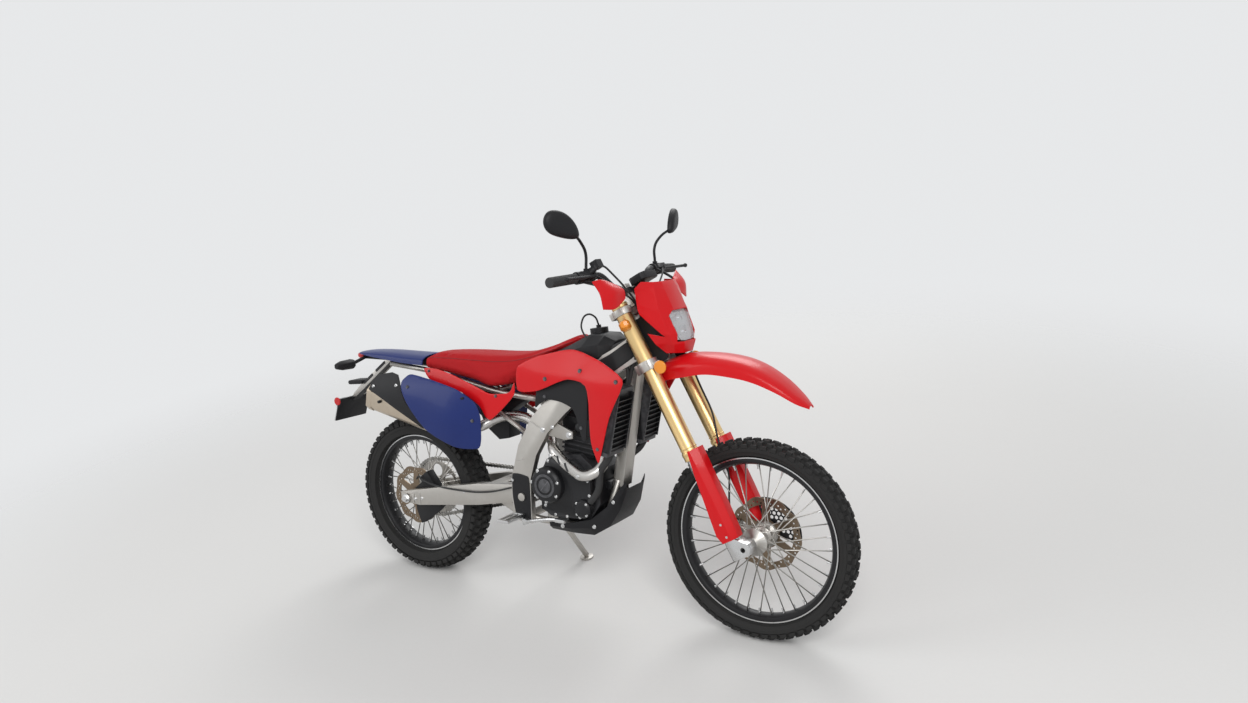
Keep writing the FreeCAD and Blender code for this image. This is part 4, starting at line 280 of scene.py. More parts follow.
bright_steel = finish("bright_steel", (0.52, 0.52, 0.52), (0.66, 0.66, 0.66), (0.2, 0.36), metal=1.0, cells=1100,
                      bump=0.08, stretch=0.15)
exhaust_metal = finish("exhaust_metal", (0.44, 0.36, 0.27), (0.60, 0.53, 0.44), (0.26, 0.42), metal=1.0, cells=700)
tyre_rubber = finish("tyre_rubber", (0.012, 0.012, 0.012), (0.03, 0.029, 0.028), (0.66, 0.86), cells=600,
                     bump=0.3, own={GLOSS: 0.3})
soft_rubber = finish("soft_rubber", (0.014, 0.014, 0.015), (0.03, 0.03, 0.03), (0.55, 0.7), bump=0.25)
seat_cover = finish("seat_cover", (0.40, 0.005, 0.009), (0.50, 0.011, 0.014), (0.6, 0.76), cells=1400, bump=0.6,
                    own={GLOSS: 0.22})
amber_lens = finish("amber_lens", (0.85, 0.26, 0.02), (0.95, 0.36, 0.04), (0.1, 0.16), cells=300, bump=0.2)
red_lens = finish("red_lens", (0.5, 0.006, 0.006), (0.62, 0.012, 0.012), (0.1, 0.16), cells=300, bump=0.2)
plate_metal = finish("plate_metal", (0.74, 0.74, 0.74), (0.82, 0.82, 0.82), (0.3, 0.4), cells=400, bump=0.08)
pale_floor = finish("pale_floor", (0.74, 0.73, 0.71), (0.80, 0.79, 0.77), (0.8, 0.9), bump=0.0, drift=0.6)
header_steel = finish("header_steel", (0.46, 0.45, 0.44), (0.62, 0.60, 0.57), (0.2, 0.34), metal=1.0, cells=700)
disc_steel = finish("disc_steel", (0.15, 0.11, 0.075), (0.27, 0.21, 0.155), (0.24, 0.4), metal=1.0, cells=1200,
                    stretch=0.15)
chain_steel = finish("chain_steel", (0.26, 0.25, 0.23), (0.42, 0.41, 0.39), (0.3, 0.46), metal=1.0, bump=0.15)
mirror_chrome = finish("mirror_chrome", (0.80, 0.81, 0.82), (0.86, 0.87, 0.88), (0.04, 0.09), metal=1.0, bump=0.0)
seam_thread = finish("seam_thread", (0.20, 0.008, 0.01), (0.3, 0.014, 0.016), (0.6, 0.75), cells=2600, bump=0.6)
# the lamp's white glows faintly: this emission is a painted highlight, so that its strips and chips look as bright
# as the light they reflect
lamp_white_painted_glow = finish("lamp_white_painted_glow", (0.88, 0.9, 0.92), (0.94, 0.95, 0.96), (0.15, 0.25), bump=0.0,
                    own={"Emission Color": (0.95, 0.97, 1.0, 1), "Emission Strength": 0.6})
clear_lens = finish("clear_lens", (0.86, 0.88, 0.9), (0.92, 0.94, 0.95), (0.05, 0.1), bump=0.0,
                    own={"Transmission Weight": 0.85, "IOR": 1.46})


def faded_floor(material, near=1.9, far=4.6):
    """Lets the floor fade into the backdrop with distance, so that there is no horizon."""
    tree = material.node_tree
    where = new_node(tree, "ShaderNodeNewGeometry").outputs["Position"]
    away = new_node(tree, "ShaderNodeVectorMath", {0: where}, operation="LENGTH").outputs["Value"]
    share = new_node(tree, "ShaderNodeMapRange", {"Value": away, "From Min": near, "From Max": far},
                     interpolation_type="SMOOTHSTEP")
    blend = new_node(tree, "ShaderNodeMixShader", {
        "Fac": share.outputs["Result"], 1: tree.nodes["Principled BSDF"].outputs[0],
        2: new_node(tree, "ShaderNodeBsdfTransparent").outputs[0]})
    tree.links.new(blend.outputs[0], tree.nodes["Material Output"].inputs["Surface"])


faded_floor(pale_floor)
floor.data.materials.append(pale_floor)

SLOTS = {
    "red_plastic": red_plastic, "blue_plastic": blue_plastic, "black_plastic": black_plastic,
    "black_paint": black_paint, "bare_aluminium": bare_aluminium, "gold_anodised": gold_anodised,
    "bright_steel": bright_steel, "exhaust_metal": exhaust_metal, "tyre_rubber": tyre_rubber,
    "rubber": soft_rubber, "seat_cover": seat_cover, "clear_lens": clear_lens, "red_lens": red_lens,
    "amber_lens": amber_lens, "plate_metal": plate_metal,
}
print("materials:", len(bpy.data.materials))

# %% [markdown]
# ## Dress the CAD pieces
# Many CAD pieces already have the right shape, such as the frame, the fork and the engine. They keep
# their mesh and only get the material of their slot in the record.

# %% Dress the CAD pieces
SLOT = {part["node"]: part["material_slot"] for part in frame["record"]["subparts"]}
for name, node in frame["nodes"].items():
    node.data.materials.clear()
    node.data.materials.append(SLOTS[SLOT[name]])
print("dressed:", len(frame["nodes"]))

# %% [markdown]
# ## Helpers for pieces
# Every new piece is a mesh that rides on the body of the CAD node that it stands for. These helpers make
# the mesh from points in millimetres, clean it, apply its modifiers and hand it over to the frame.

# %% Helpers for pieces
BODY = {node: body for body, nodes in frame["record"]["behaviour"]["bodies"].items() for node in nodes}
# corners closer together than this, in metres, are one
DOUBLED = 1e-5


def piece_from(name, points, faces, material, matrix=BIKE):
    """An object made of points in millimetres, in the bike frame or the fork frame."""
    mesh = bpy.data.meshes.new(name)
    mesh.from_pydata([matrix @ Vector(point) for point in points], [], faces)
    mesh.materials.append(material)
    return linked(name, mesh)


def quads(rows, width, around=False, over=False):
    """Faces between rows of points. around closes each row, over joins the last row to the first."""
    return [(r * width + c, r * width + (c + 1) % width, (r + 1) % rows * width + (c + 1) % width,
             (r + 1) % rows * width + c)
            for r in range(rows if over else rows - 1) for c in range(width if around else width - 1)]


def turns(count):
    """The cosine and sine of even steps round a circle."""
    return [(math.cos(2 * math.pi * n / count), math.sin(2 * math.pi * n / count)) for n in range(count)]


def merged(piece):
    """Merges a closed shell's doubled corners and turns every face outwards."""
    work = bmesh.new()
    work.from_mesh(piece.data)
    bmesh.ops.remove_doubles(work, verts=work.verts, dist=DOUBLED)
    bmesh.ops.recalc_face_normals(work, faces=work.faces)
    work.to_mesh(piece.data)
    work.free()
    return piece


def faced(piece, axis, side=1):
    """Turns a sheet over if it faces away from a side of the model: axis 0, 1 or 2 and its sign."""
    if sum(face.normal[axis] * face.area for face in piece.data.polygons) * side < 0:
        piece.data.flip_normals()
    return piece


def applied(piece):
    """Turns a piece's modifiers into plain mesh."""
    graph = bpy.context.evaluated_depsgraph_get()
    mesh = bpy.data.meshes.new_from_object(piece.evaluated_get(graph))
    piece.modifiers.clear()
    old, piece.data = piece.data, mesh
    bpy.data.meshes.remove(old)
    return piece


def smoothed(piece, sharp=35):
    """Smooth shading, with a crease wherever two faces meet at more than an angle in degrees."""
    piece.data.shade_smooth()
    piece.data.set_sharp_from_angle(angle=math.radians(sharp))
    return piece


def rounded_edges(piece, width, angle=30):
    """Rounds a piece's edges, so that they catch the light as moulded and machined edges do."""
    bevel = piece.modifiers.new("edges", "BEVEL")
    bevel.width, bevel.segments = width / 1000, 2
    bevel.limit_method, bevel.angle_limit = "ANGLE", math.radians(angle)
    applied(piece)
    return smoothed(piece, 50)


def thickened(piece, thickness, outside=False):
    """Gives a sheet a wall, on its inner side unless told otherwise, and rounds the wall's edges."""
    wall = piece.modifiers.new("wall", "SOLIDIFY")
    wall.thickness, wall.offset = thickness / 1000, 1.0 if outside else -1.0
    applied(piece)
    return rounded_edges(piece, min(1.4, thickness * 0.35), 50)


def stands_for(piece, *nodes, body=None):
    """Hands a piece to the frame: it rides on a body and replaces CAD nodes, if it is given any."""
    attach(piece, body or BODY[nodes[0]])
    if nodes:
        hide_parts(*nodes)
    return piece


def triangles(piece):
    return sum(len(face.vertices) - 2 for face in piece.data.polygons)


print("bodies:", sorted(set(BODY.values())))

# %% [markdown]
# ## Machined and cast pieces
# Frame, fork, clamps, engine and controls have the right shape in CAD, but a computer's edges are
# perfectly sharp and its round faces are flat facets. Each gets a copy whose corners are merged, whose
# flat regions are joined and whose edges are rounded a little, which is what makes metal look real.

# %% Machined and cast pieces
# node: how far its edges are rounded, in millimetres; 0 only smooths it
EDGES = {
    "frame": 1.6, "subframe": 0, "swingarm": 2.0, "shock": 0, "crankcase": 2.0, "cylinder": 1.6,
    "engine_covers": 2.2, "exhaust_header": 0, "muffler": 2.5, "muffler_guard": 1.2, "radiators": 0.8,
    "fuel_tank": 6.0, "airbox": 2.0, "skid_plate": 1.6, "plate_bracket": 1.0, "tail_light": 2.0,
    "rear_indicators": 2.0, "foot_controls": 0.6, "rear_brake": 2.0, "side_stand": 0.8, "triple_clamps": 1.6,
    "fork_outer_tubes": 0, "fork_lowers": 1.2, "headlight_shell": 1.6, "handlebar": 0, "bar_controls": 0,
    "instrument": 2.5, "front_indicators": 1.6, "front_brake": 2.4, "brake_hose": 0, "front_rim": 0.6,
    "rear_rim": 0.6, "front_hub": 0, "rear_hub": 0, "front_disc": 0, "rear_disc": 0, "rear_sprocket": 0.4,
    "disc_guard": 0.4, "fork_guards": 3.0, "number_plate": 0.4,
}
# finishes that differ from the slot's usual one, and the angle in degrees up to which faces count as flat
OTHER = {"exhaust_header": header_steel, "front_disc": disc_steel, "rear_disc": disc_steel}
FLAT = 0.6


def refined(node, edge):
    """A copy of a CAD piece with merged corners, joined flats and rounded edges."""
    piece = linked(node + "_finish", frame["nodes"][node].data.copy())
    work = bmesh.new()
    work.from_mesh(piece.data)
    bmesh.ops.remove_doubles(work, verts=work.verts, dist=DOUBLED)
    if edge:
        bmesh.ops.dissolve_limit(work, angle_limit=math.radians(FLAT), verts=work.verts, edges=work.edges)
    work.to_mesh(piece.data)
    work.free()
    piece.data.materials.clear()
    piece.data.materials.append(OTHER.get(node, SLOTS[SLOT[node]]))
    smoothed(piece)
    if edge:
        rounded_edges(piece, edge)
    return stands_for(piece, node)


fine = {node: refined(node, edge) for node, edge in EDGES.items()}
print("refined:", len(fine), "largest:", max((triangles(piece), name) for name, piece in fine.items()))

# %% [markdown]
# ## Curves through a few numbers
# A moulded panel is smooth, but it is easy to describe by a few measured sections. A Catmull-Rom curve
# passes through every measured value and stays smooth between them, in one direction for a fender and in
# two for a side panel. Corner cutting rounds the outline of a panel in the same spirit.

# %% Curves through a few numbers
def curve_value(stops, values, at):
    """A smooth curve through values at rising stops."""
    at = min(max(at, stops[0]), stops[-1])
    index = max(n for n, stop in enumerate(stops[:-1]) if stop <= at)
    before, after = max(index - 1, 0), min(index + 2, len(stops) - 1)
    span = stops[index + 1] - stops[index]
    t = (at - stops[index]) / span
    slope0 = (values[index + 1] - values[before]) / (stops[index + 1] - stops[before]) * span
    slope1 = (values[after] - values[index]) / (stops[after] - stops[index]) * span
    return ((2 * t ** 3 - 3 * t ** 2 + 1) * values[index] + (t ** 3 - 2 * t ** 2 + t) * slope0
            + (3 * t ** 2 - 2 * t ** 3) * values[index + 1] + (t ** 3 - t ** 2) * slope1)


def surface_value(stations, heights, table, x, z):
    """A smooth surface through a table, by station and height."""
    return curve_value(stations, [curve_value(heights, row, z) for row in table], x)


def row_at(rows, x):
    """A row's values at x, smoothly between the rows of a table whose first column is x."""
    stops, *columns = zip(*rows)
    return [curve_value(stops, column, x) for column in columns]


def cut_corners(outline, cuts=(0.16, 0.26), closed=True):
    """Cuts an outline's corners in a few rounds, so that they come out round."""
    for cut in cuts:
        made = [(a[0] + (b[0] - a[0]) * share, a[1] + (b[1] - a[1]) * share)
                for a, b in zip(outline, outline[1:] + outline[:closed]) for share in (cut, 1 - cut)]
        outline = made if closed else outline[:1] + made + outline[-1:]
    return outline


def inside(outline, x, z):
    """Whether a point lies inside a closed outline."""
    crossings = False
    for (x0, z0), (x1, z1) in zip(outline, outline[1:] + outline[:1]):
        if (z0 > z) != (z1 > z) and x < x0 + (x1 - x0) * (z - z0) / (z1 - z0):
            crossings = not crossings
    return crossings


def filled(outline, step, margin=0.55):
    """Points and faces that fill a closed outline: its rim in even steps and a grid inside it."""
    rim = []
    for a, b in zip(outline, outline[1:] + outline[:1]):
        parts = max(1, round(math.dist(a, b) / step))
        rim += [(a[0] + (b[0] - a[0]) * n / parts, a[1] + (b[1] - a[1]) * n / parts) for n in range(parts)]
    across, up = (range(int(min(values) / step), int(max(values) / step) + 1) for values in zip(*outline))
    grid = [(x * step, z * step) for x in across for z in up]
    grid = [g for g in grid if inside(outline, *g) and min(math.dist(g, p) for p in rim) > step * margin]
    count = len(rim)
    edges = [(n, (n + 1) % count) for n in range(count)]
    spots, _, faces, *_ = delaunay_2d_cdt([Vector(p) for p in rim + grid], edges, [list(range(count))], 1, 1e-4)
    return spots, faces


def panel(name, outline, stations, heights, table, material, step=9.0, thickness=3.5):
    """A curved side panel: an outline in the side view on a smooth surface, with a wall inside."""
    spots, faces = filled(cut_corners(outline), step)
    points = [(x, surface_value(stations, heights, table, x, z), z) for x, z in spots]
    return thickened(faced(piece_from(name, points, faces, material), 1, table[0][0]), thickness)


def mirrored_table(table):
    return [[-y for y in row] for row in table]


print("a curve through 0, 1, 0 at 0.5:", round(curve_value([0, 1, 2], [0, 1, 0], 0.5), 3))

# %% [markdown]
# ## Bodywork panels
# Shrouds, side covers, the strips under the seat and the covers over the spars are thin injection-moulded
# panels. Each is an outline in the side view laid on a smooth surface through a few measured heights, so
# its silhouette stays exact while its face curves as the real moulding does.

# %% Bodywork panels
# each outline is x and height in the side view; each table is y, by station along x and by height
SHROUD = [
    (596, 806), (700, 818), (841, 878), (950, 868), (944, 661), (972, 590), (978, 592), (1002, 660),
    (1038, 762), (1116, 896), (1000, 946), (846, 982), (698, 946), (600, 906)]
SHROUD_X, SHROUD_Z = [580, 700, 846, 957, 1040, 1130], [570, 700, 800, 880, 940, 1000]
SHROUD_Y = [
    [-128, -128, -128, -130, -126, -120], [-140, -140, -142, -144, -132, -120],
    [-158, -158, -158, -156, -138, -114], [-170, -178, -184, -186, -160, -124],
    [-176, -190, -198, -198, -176, -140], [-184, -196, -204, -206, -190, -160]]
COVER = [
    (56, 822), (84, 850), (210, 832), (338, 806), (420, 760), (440, 706), (436, 620), (424, 577), (330, 577),
    (190, 636), (96, 736), (58, 796)]
COVER_X, COVER_Z = [40, 150, 300, 380, 450], [560, 640, 720, 800, 860]
COVER_RIGHT_Y = [
    [-182, -190, -190, -176, -140], [-182, -190, -190, -176, -140], [-176, -188, -188, -168, -136],
    [-160, -172, -174, -158, -134], [-140, -148, -150, -144, -130]]
COVER_LEFT_Y = [
    [116, 120, 122, 118, 104], [128, 134, 136, 130, 112], [134, 142, 144, 136, 118], [132, 140, 142, 136, 120],
    [126, 132, 136, 132, 122]]
STRIP = [
    (112, 868), (190, 868), (279, 852), (413, 812), (470, 790), (566, 800), (588, 850), (588, 796), (520, 730),
    (470, 690), (448, 700), (424, 742), (340, 788), (212, 812), (150, 826)]
STRIP_X, STRIP_Z = [100, 280, 450, 600], [680, 790, 840, 880]
STRIP_Y = [[-112, -112, -108, -98], [-132, -130, -122, -112], [-136, -134, -128, -124], [-130, -130, -130, -126]]
SPAR_COVER = [
    (676, 750), (688, 832), (761, 872), (816, 896), (914, 892), (914, 752), (904, 646), (888, 650), (862, 742),
    (846, 768), (796, 786), (738, 792), (700, 772)]
SPAR_COVER_X, SPAR_COVER_Z = [660, 760, 860, 930], [630, 740, 810, 900]
SPAR_COVER_Y = [[-129, -129, -129, -122], [-131, -131, -131, -124], [-136, -136, -134, -126],
                [-142, -142, -138, -130]]
# name, CAD node, outline, stations, heights, right-hand table, left-hand table, material
PANELS = [
    ("shroud", "radiator_shrouds", SHROUD, SHROUD_X, SHROUD_Z, SHROUD_Y, mirrored_table(SHROUD_Y), red_plastic),
    ("side_cover", "side_covers", COVER, COVER_X, COVER_Z, COVER_RIGHT_Y, COVER_LEFT_Y, blue_plastic),
    ("seat_strip", "tail_strips", STRIP, STRIP_X, STRIP_Z, STRIP_Y, mirrored_table(STRIP_Y), red_plastic),
    ("spar_cover", "frame_covers", SPAR_COVER, SPAR_COVER_X, SPAR_COVER_Z, SPAR_COVER_Y,
     mirrored_table(SPAR_COVER_Y), black_plastic),
]
panels = {}
for name, node, outline, stations, heights, right_y, left_y, material in PANELS:
    for side, table in (("right", right_y), ("left", left_y)):
        made = panel(f"{name}_{side}", outline, stations, heights, table, material)
        panels[made.name] = stands_for(made, node)
print("panels:", {name: triangles(made) for name, made in panels.items()})

# %% [markdown]
# ## Fenders
# A fender is one flexible moulding with a crowned top and two skirts. Its section is a polygon whose
# corners are cut until they are round, swept through smooth curves of its top, width and lower edge.

# %% Fenders
def crowned(top, half, low):
    """A fender's section from the right-hand edge over the crown to the left-hand edge."""
    fall = top - low
    points = [(half, low), (half * 0.95, low + fall * 0.55), (half * 0.62, top - fall * 0.12), (0, top)]
    return cut_corners(points + [(-y, z) for y, z in points[-2::-1]], (0.2, 0.2, 0.2), closed=False)


def fender(name, rows, material, outside, steps=44):
    """A fender through rows of x, top z, half width and lower edge z."""
    rows, points = sorted(rows), []
    first, last = rows[0][0], rows[-1][0]
    for n in range(steps + 1):
        x = first + (last - first) * n / steps
        top, half, low = row_at(rows, x)
        section = crowned(top, max(half, 4.0), min(low, top - 3.0))
        points += [(x, y, z) for y, z in section]
    piece = piece_from(name, points, quads(steps + 1, len(section)), material)
    return thickened(faced(piece, 2), 3.5, outside)


# x, height of the top, half the width, height of the lower edge
FRONT_FENDER = [
    (1175, 941, 67, 875), (1249, 966, 76, 892), (1345, 972, 82, 910), (1443, 962, 84, 906), (1516, 939, 78, 892),
    (1590, 896, 66, 862), (1650, 848, 44, 826), (1684, 816, 16, 808)]
REAR_FENDER = [
    (90, 911, 84, 872), (-10, 912, 80, 874), (-150, 913, 70, 884), (-250, 909, 60, 892), (-296, 904, 48, 896)]
front_guard = stands_for(fender("front_fender_shell", FRONT_FENDER, red_plastic, True), "front_fender")
tail = stands_for(fender("tail_shell", REAR_FENDER, blue_plastic, False), "rear_fender")
print("fender triangles:", triangles(front_guard), triangles(tail))

# %% [markdown]
# ## Knobby tyres
# An off-road tyre is a smooth carcass with separate rubber blocks. The carcass is a profile turned about
# the axle. The blocks of one stretch of tread are made once, and a Geometry Nodes tree repeats them round
# the wheel: points on a circle, an instance on each, then realised into one mesh.

# %% Knobby tyres
def lathe(name, profile, centre, material, segments=112):
    """Turns an outline of (y, radius) about a wheel's axle."""
    points = [(centre[0] + r * c, centre[1] + y, centre[2] + r * s)
              for c, s in turns(segments) for y, r in profile]
    faces = quads(segments, len(profile), around=True, over=True)
    return smoothed(merged(piece_from(name, points, faces, material)), 30)


def painted(tree, each, source, out):
    """The end of a tree: its instances become plain mesh and get their material."""
    real = new_node(tree, "GeometryNodeRealizeInstances", {0: each.outputs[0]})
    paint = new_node(tree, "GeometryNodeSetMaterial", {"Geometry": real.outputs[0],
                                                       "Material": source["Material"]})
    tree.links.new(paint.outputs[0], out[0])
    return tree


def ring_tree():
    """Geometry Nodes that repeat a mesh evenly about an axis through a centre."""
    tree, source, out = new_tree("repeat_in_a_ring", "GeometryNodeTree", [
        ("Geometry", "Geometry"), ("Count", "Int"), ("Centre", "Vector"), ("Axis", "Vector"),
        ("Material", "Material")], [("Geometry", "Geometry")])
    points = new_node(tree, "GeometryNodePoints", {"Count": source["Count"], "Position": source["Centre"]})
    back = new_node(tree, "ShaderNodeVectorMath", {0: source["Centre"], "Scale": -1.0}, operation="SCALE")
    at_centre = new_node(tree, "GeometryNodeTransform", {"Geometry": source["Geometry"],
                                                         "Translation": back.outputs[0]})
    index = new_node(tree, "GeometryNodeInputIndex").outputs[0]
    angle = math_node(tree, "MULTIPLY", math_node(tree, "DIVIDE", index, source["Count"]), 2 * math.pi)
    turn = new_node(tree, "FunctionNodeAxisAngleToRotation", {"Axis": source["Axis"], "Angle": angle})
    each = new_node(tree, "GeometryNodeInstanceOnPoints", {
        "Points": points.outputs[0], "Instance": at_centre.outputs[0], "Rotation": turn.outputs[0]})
    return painted(tree, each, source, out)


def with_tree(piece, tree, **values):
    """Runs a Geometry Nodes tree on a piece, with its inputs set by their sockets' identifiers."""
    modifier = piece.modifiers.new(tree.name, "NODES")
    modifier.node_group = tree
    ids = {item.name: item.identifier for item in tree.interface.items_tree if item.in_out == "INPUT"}
    for label, value in values.items():
        modifier[ids[label.replace("_", " ")]] = value
    return applied(piece)


def block(at_turn, y, long, wide, low, high, lean, taper=0.84):
    """The corners of a rubber block with drawn-in top edges, as turn about the axle, y and radius."""
    return [(at_turn + du * long * k / 2 / high, y + dv * wide * k / 2 + lean * (r - low), r)
            for r, k in ((low, 1.0), (high - 1.2, taper), (high, taper - 0.08))
            for du, dv in ((-1, -1), (1, -1), (1, 1), (-1, 1))]


def joined(name, *pieces):
    """Several pieces as one."""
    work = bmesh.new()
    for piece in pieces:
        work.from_mesh(piece.data)
    mesh = bpy.data.meshes.new(name)
    work.to_mesh(mesh)
    work.free()
    for material in pieces[0].data.materials:
        mesh.materials.append(material)
    whole = linked(name, mesh)
    for piece in pieces:
        bpy.data.objects.remove(piece)
    return whole


def knobby_tyre(name, centre, outer_r, width, rim_r, rim_w, pitches, depth, rows):
    """A carcass and its blocks. rows: share of the width, share of the pitch, then length, width, lean."""
    bead, belly = rim_w / 2 - 4.2, rim_r + (outer_r - rim_r) * 0.45
    half, base = width / 2 - 1.5, outer_r - depth
    right_side = [
        (0, base), (0.2 * width, base - 0.035 * width), (0.36 * width, base - 0.12 * width),
        (0.455 * width, base - 0.215 * width), (half, belly + 3), (half - 0.6, belly - 6),
        (half - 2.2, belly - 7.5), (half - 5.5, rim_r + 12), (half - 6.5, rim_r + 7.5), (bead + 5, rim_r + 6),
        (bead + 1.5, rim_r + 3.6), (bead, rim_r + 1), (bead, rim_r - 13.5)]
    profile = right_side + [(-y, r) for y, r in right_side[:0:-1]]
    carcass = lathe(name + "_carcass", profile[::-1], centre, tyre_rubber)
    step, points, faces = 2 * math.pi / pitches, [], []
    for share_y, share_turn, long, wide, lean in rows:
        high = outer_r - 0.2 * width * (share_y / 0.44) ** 2
        spots = block(step * share_turn, share_y * width, long, wide, high - depth - 3, high, lean)
        faces += [tuple(len(points) + n for n in face) for face in BLOCK_FACES]
        points += [(centre[0] + r * math.cos(t), centre[1] + y, centre[2] + r * math.sin(t)) for t, y, r in spots]
    knobs = merged(piece_from(name + "_blocks", points, faces, tyre_rubber))
    with_tree(knobs, RING, Count=pitches, Centre=tuple(BIKE @ Vector(centre)), Axis=AXLE_WAY, Material=tyre_rubber)
    return joined(name, carcass, smoothed(knobs, 20))


def both_sides(rows):
    """Rows of blocks, each with its twin on the other side of the tyre's middle."""
    return [(k * y, turn, long, wide, k * lean) for y, turn, long, wide, lean in rows
            for k in ((1, -1) if y else (1,))]


RING, BLOCK_FACES = ring_tree(), [(8, 9, 10, 11)] + quads(3, 4, around=True)
AXLE_WAY = tuple((leaned @ Vector((0, -1, 0))).normalized())
FRONT_ROWS = both_sides([(0.10, 0.02, 21, 15, 0), (0.0, 0.5, 19, 17, 0), (0.27, 0.26, 22, 14, 0.1),
                         (0.27, 0.76, 22, 14, 0.1), (0.425, 0.0, 25, 11, 0.12), (0.425, 0.5, 25, 11, 0.12)])
REAR_ROWS = both_sides([(0.09, 0.02, 20, 19, 0), (0.0, 0.5, 20, 26, 0), (0.25, 0.28, 22, 20, 0.08),
                        (0.25, 0.78, 22, 20, 0.08), (0.42, 0.0, 27, 15, 0.1), (0.42, 0.5, 27, 15, 0.1)])
# centre, outer radius, width, the rim's radius and width, pitches of tread, its depth, its blocks
WHEELS = {"front": ((WHEELBASE, 0.0, FRONT_R), FRONT_R, 84.0, 285.0, 48.0, 30, 9.0, FRONT_ROWS),
          "rear": ((0.0, 0.0, REAR_R), REAR_R, 118.0, 244.0, 64.0, 28, 12.0, REAR_ROWS)}
for wheel, sizes in WHEELS.items():
    tyre = stands_for(knobby_tyre(f"{wheel}_tyre_tread", *sizes), f"{wheel}_tyre")
    print(tyre.name, "triangles:", triangles(tyre))

# %% [markdown]
# ## The seat
# The seat is foam under a tight cover. A swelling simulation gives it the crown that foam has: the shape
# is remeshed evenly, its cloth is blown up a little, and how far each point may move is capped, so that
# it stays where the CAD solid is.

# %% The seat
# x, height of the lower edge, of the widest place and of the top, then half the width at each
SEAT = [
    (92, 868, 884, 912, 74, 80, 62), (230, 850, 872, 921, 94, 102, 78), (350, 834, 856, 924, 106, 116, 84),
    (470, 812, 840, 926, 112, 122, 84), (580, 858, 884, 934, 102, 112, 76), (690, 944, 950, 962, 78, 88, 60),
    (780, 978, 984, 996, 62, 70, 46), (838, 1004, 1010, 1018, 44, 50, 32)]


def seat_shape(inset=4.0, steps=40):
    """The seat's closed form, a little smaller than the CAD solid, before it swells."""
    first, last, points = SEAT[0][0], SEAT[-1][0], []
    for n in range(steps + 1):
        x = first + inset + (last - first - 2 * inset) * n / steps
        z0, zm, z1, w0, wm, w1 = row_at(SEAT, x)
        half = [(w0 - inset, z0 + inset * 0.4), (wm - inset, zm), (wm * 0.94 - inset, zm + (z1 - zm) * 0.6),
                (w1, z1 - 4 - inset * 0.6), (w1 * 0.5, z1 - inset * 0.6)]
        section = half + [(-y, z) for y, z in half[::-1]]
        points += [(x, y, z) for y, z in section]
    width = len(section)
    faces = quads(steps + 1, width, around=True)
    faces += [tuple(range(width)), tuple(range(steps * width, (steps + 1) * width))[::-1]]
    return merged(piece_from("seat_cushion", points, faces, seat_cover))


def swollen(piece, voxel=0.006, pressure=4.0, cap=0.009, frames=20):
    """Blows the cover up by a cloth simulation, and caps how far any point moves."""
    remesh = piece.modifiers.new("even", "REMESH")
    remesh.mode, remesh.voxel_size = "VOXEL", voxel
    applied(piece)
    start = [vertex.co.copy() for vertex in piece.data.vertices]
    cloth = piece.modifiers.new("cover", "CLOTH")
    cloth.settings.use_pressure = True
    cloth.settings.uniform_pressure_force = pressure
    cloth.settings.effector_weights.gravity = 0.0
    cloth.settings.tension_stiffness = cloth.settings.compression_stiffness = 18
    scene = bpy.context.scene
    for number in range(1, frames + 1):
        scene.frame_set(number)
    applied(piece)
    scene.frame_set(1)
    for vertex, here in zip(piece.data.vertices, start):
        moved = vertex.co - here
        if moved.length > cap:
            vertex.co = here + moved * (cap / moved.length)
    return piece


seat = swollen(seat_shape())
finer = seat.modifiers.new("finer", "SUBSURF")
finer.levels = finer.render_levels = 1
applied(seat)
seat.data.materials.clear()
seat.data.materials.append(seat_cover)
smoothed(seat, 60)
stands_for(seat, "seat")
print("seat triangles:", triangles(seat))

# %% [markdown]
# ## Bolts, tubes and rings
# Bolt heads repeat all over a motorcycle, so a Geometry Nodes tree puts a flanged hexagon head on every
# point of a small cloud, turned along the point's own facing. A ray finds the surface that each bolt
# sits on. Hoses, cables and seams are round tubes along smooth curves.

# %% Bolts, tubes and rings
def bolt_tree():
    """Geometry Nodes that put a flanged hexagon head on every point, along the point's own facing."""
    tree, source, out = new_tree("bolt_heads", "GeometryNodeTree", [
        ("Geometry", "Geometry"), ("Material", "Material")], [("Geometry", "Geometry")])
    both = new_node(tree, "GeometryNodeJoinGeometry")
    # the flange, the head and the dimple in it: sides, radius, height and lift, in head radii
    for sides, radius, depth, lift in ((24, 1.45, 0.26, 0.1), (6, 1.0, 0.9, 0.6), (18, 0.5, 0.1, 1.06)):
        head = new_node(tree, "GeometryNodeMeshCylinder", {"Vertices": sides, "Radius": radius, "Depth": depth})
        place = new_node(tree, "GeometryNodeTransform", {"Geometry": head.outputs["Mesh"],
                                                         "Translation": (0, 0, lift)})
        tree.links.new(place.outputs[0], both.inputs[0])
    facing, size = (new_node(tree, "GeometryNodeInputNamedAttribute", {"Name": label}, data_type=kind)
                    for label, kind in (("facing", "FLOAT_VECTOR"), ("size", "FLOAT")))
    turn = new_node(tree, "FunctionNodeAlignRotationToVector", {"Vector": facing.outputs[0]}, axis="Z")
    each = new_node(tree, "GeometryNodeInstanceOnPoints", {
        "Points": source["Geometry"], "Instance": both.outputs[0], "Rotation": turn.outputs[0],
        "Scale": size.outputs[0]})
    return painted(tree, each, source, out)


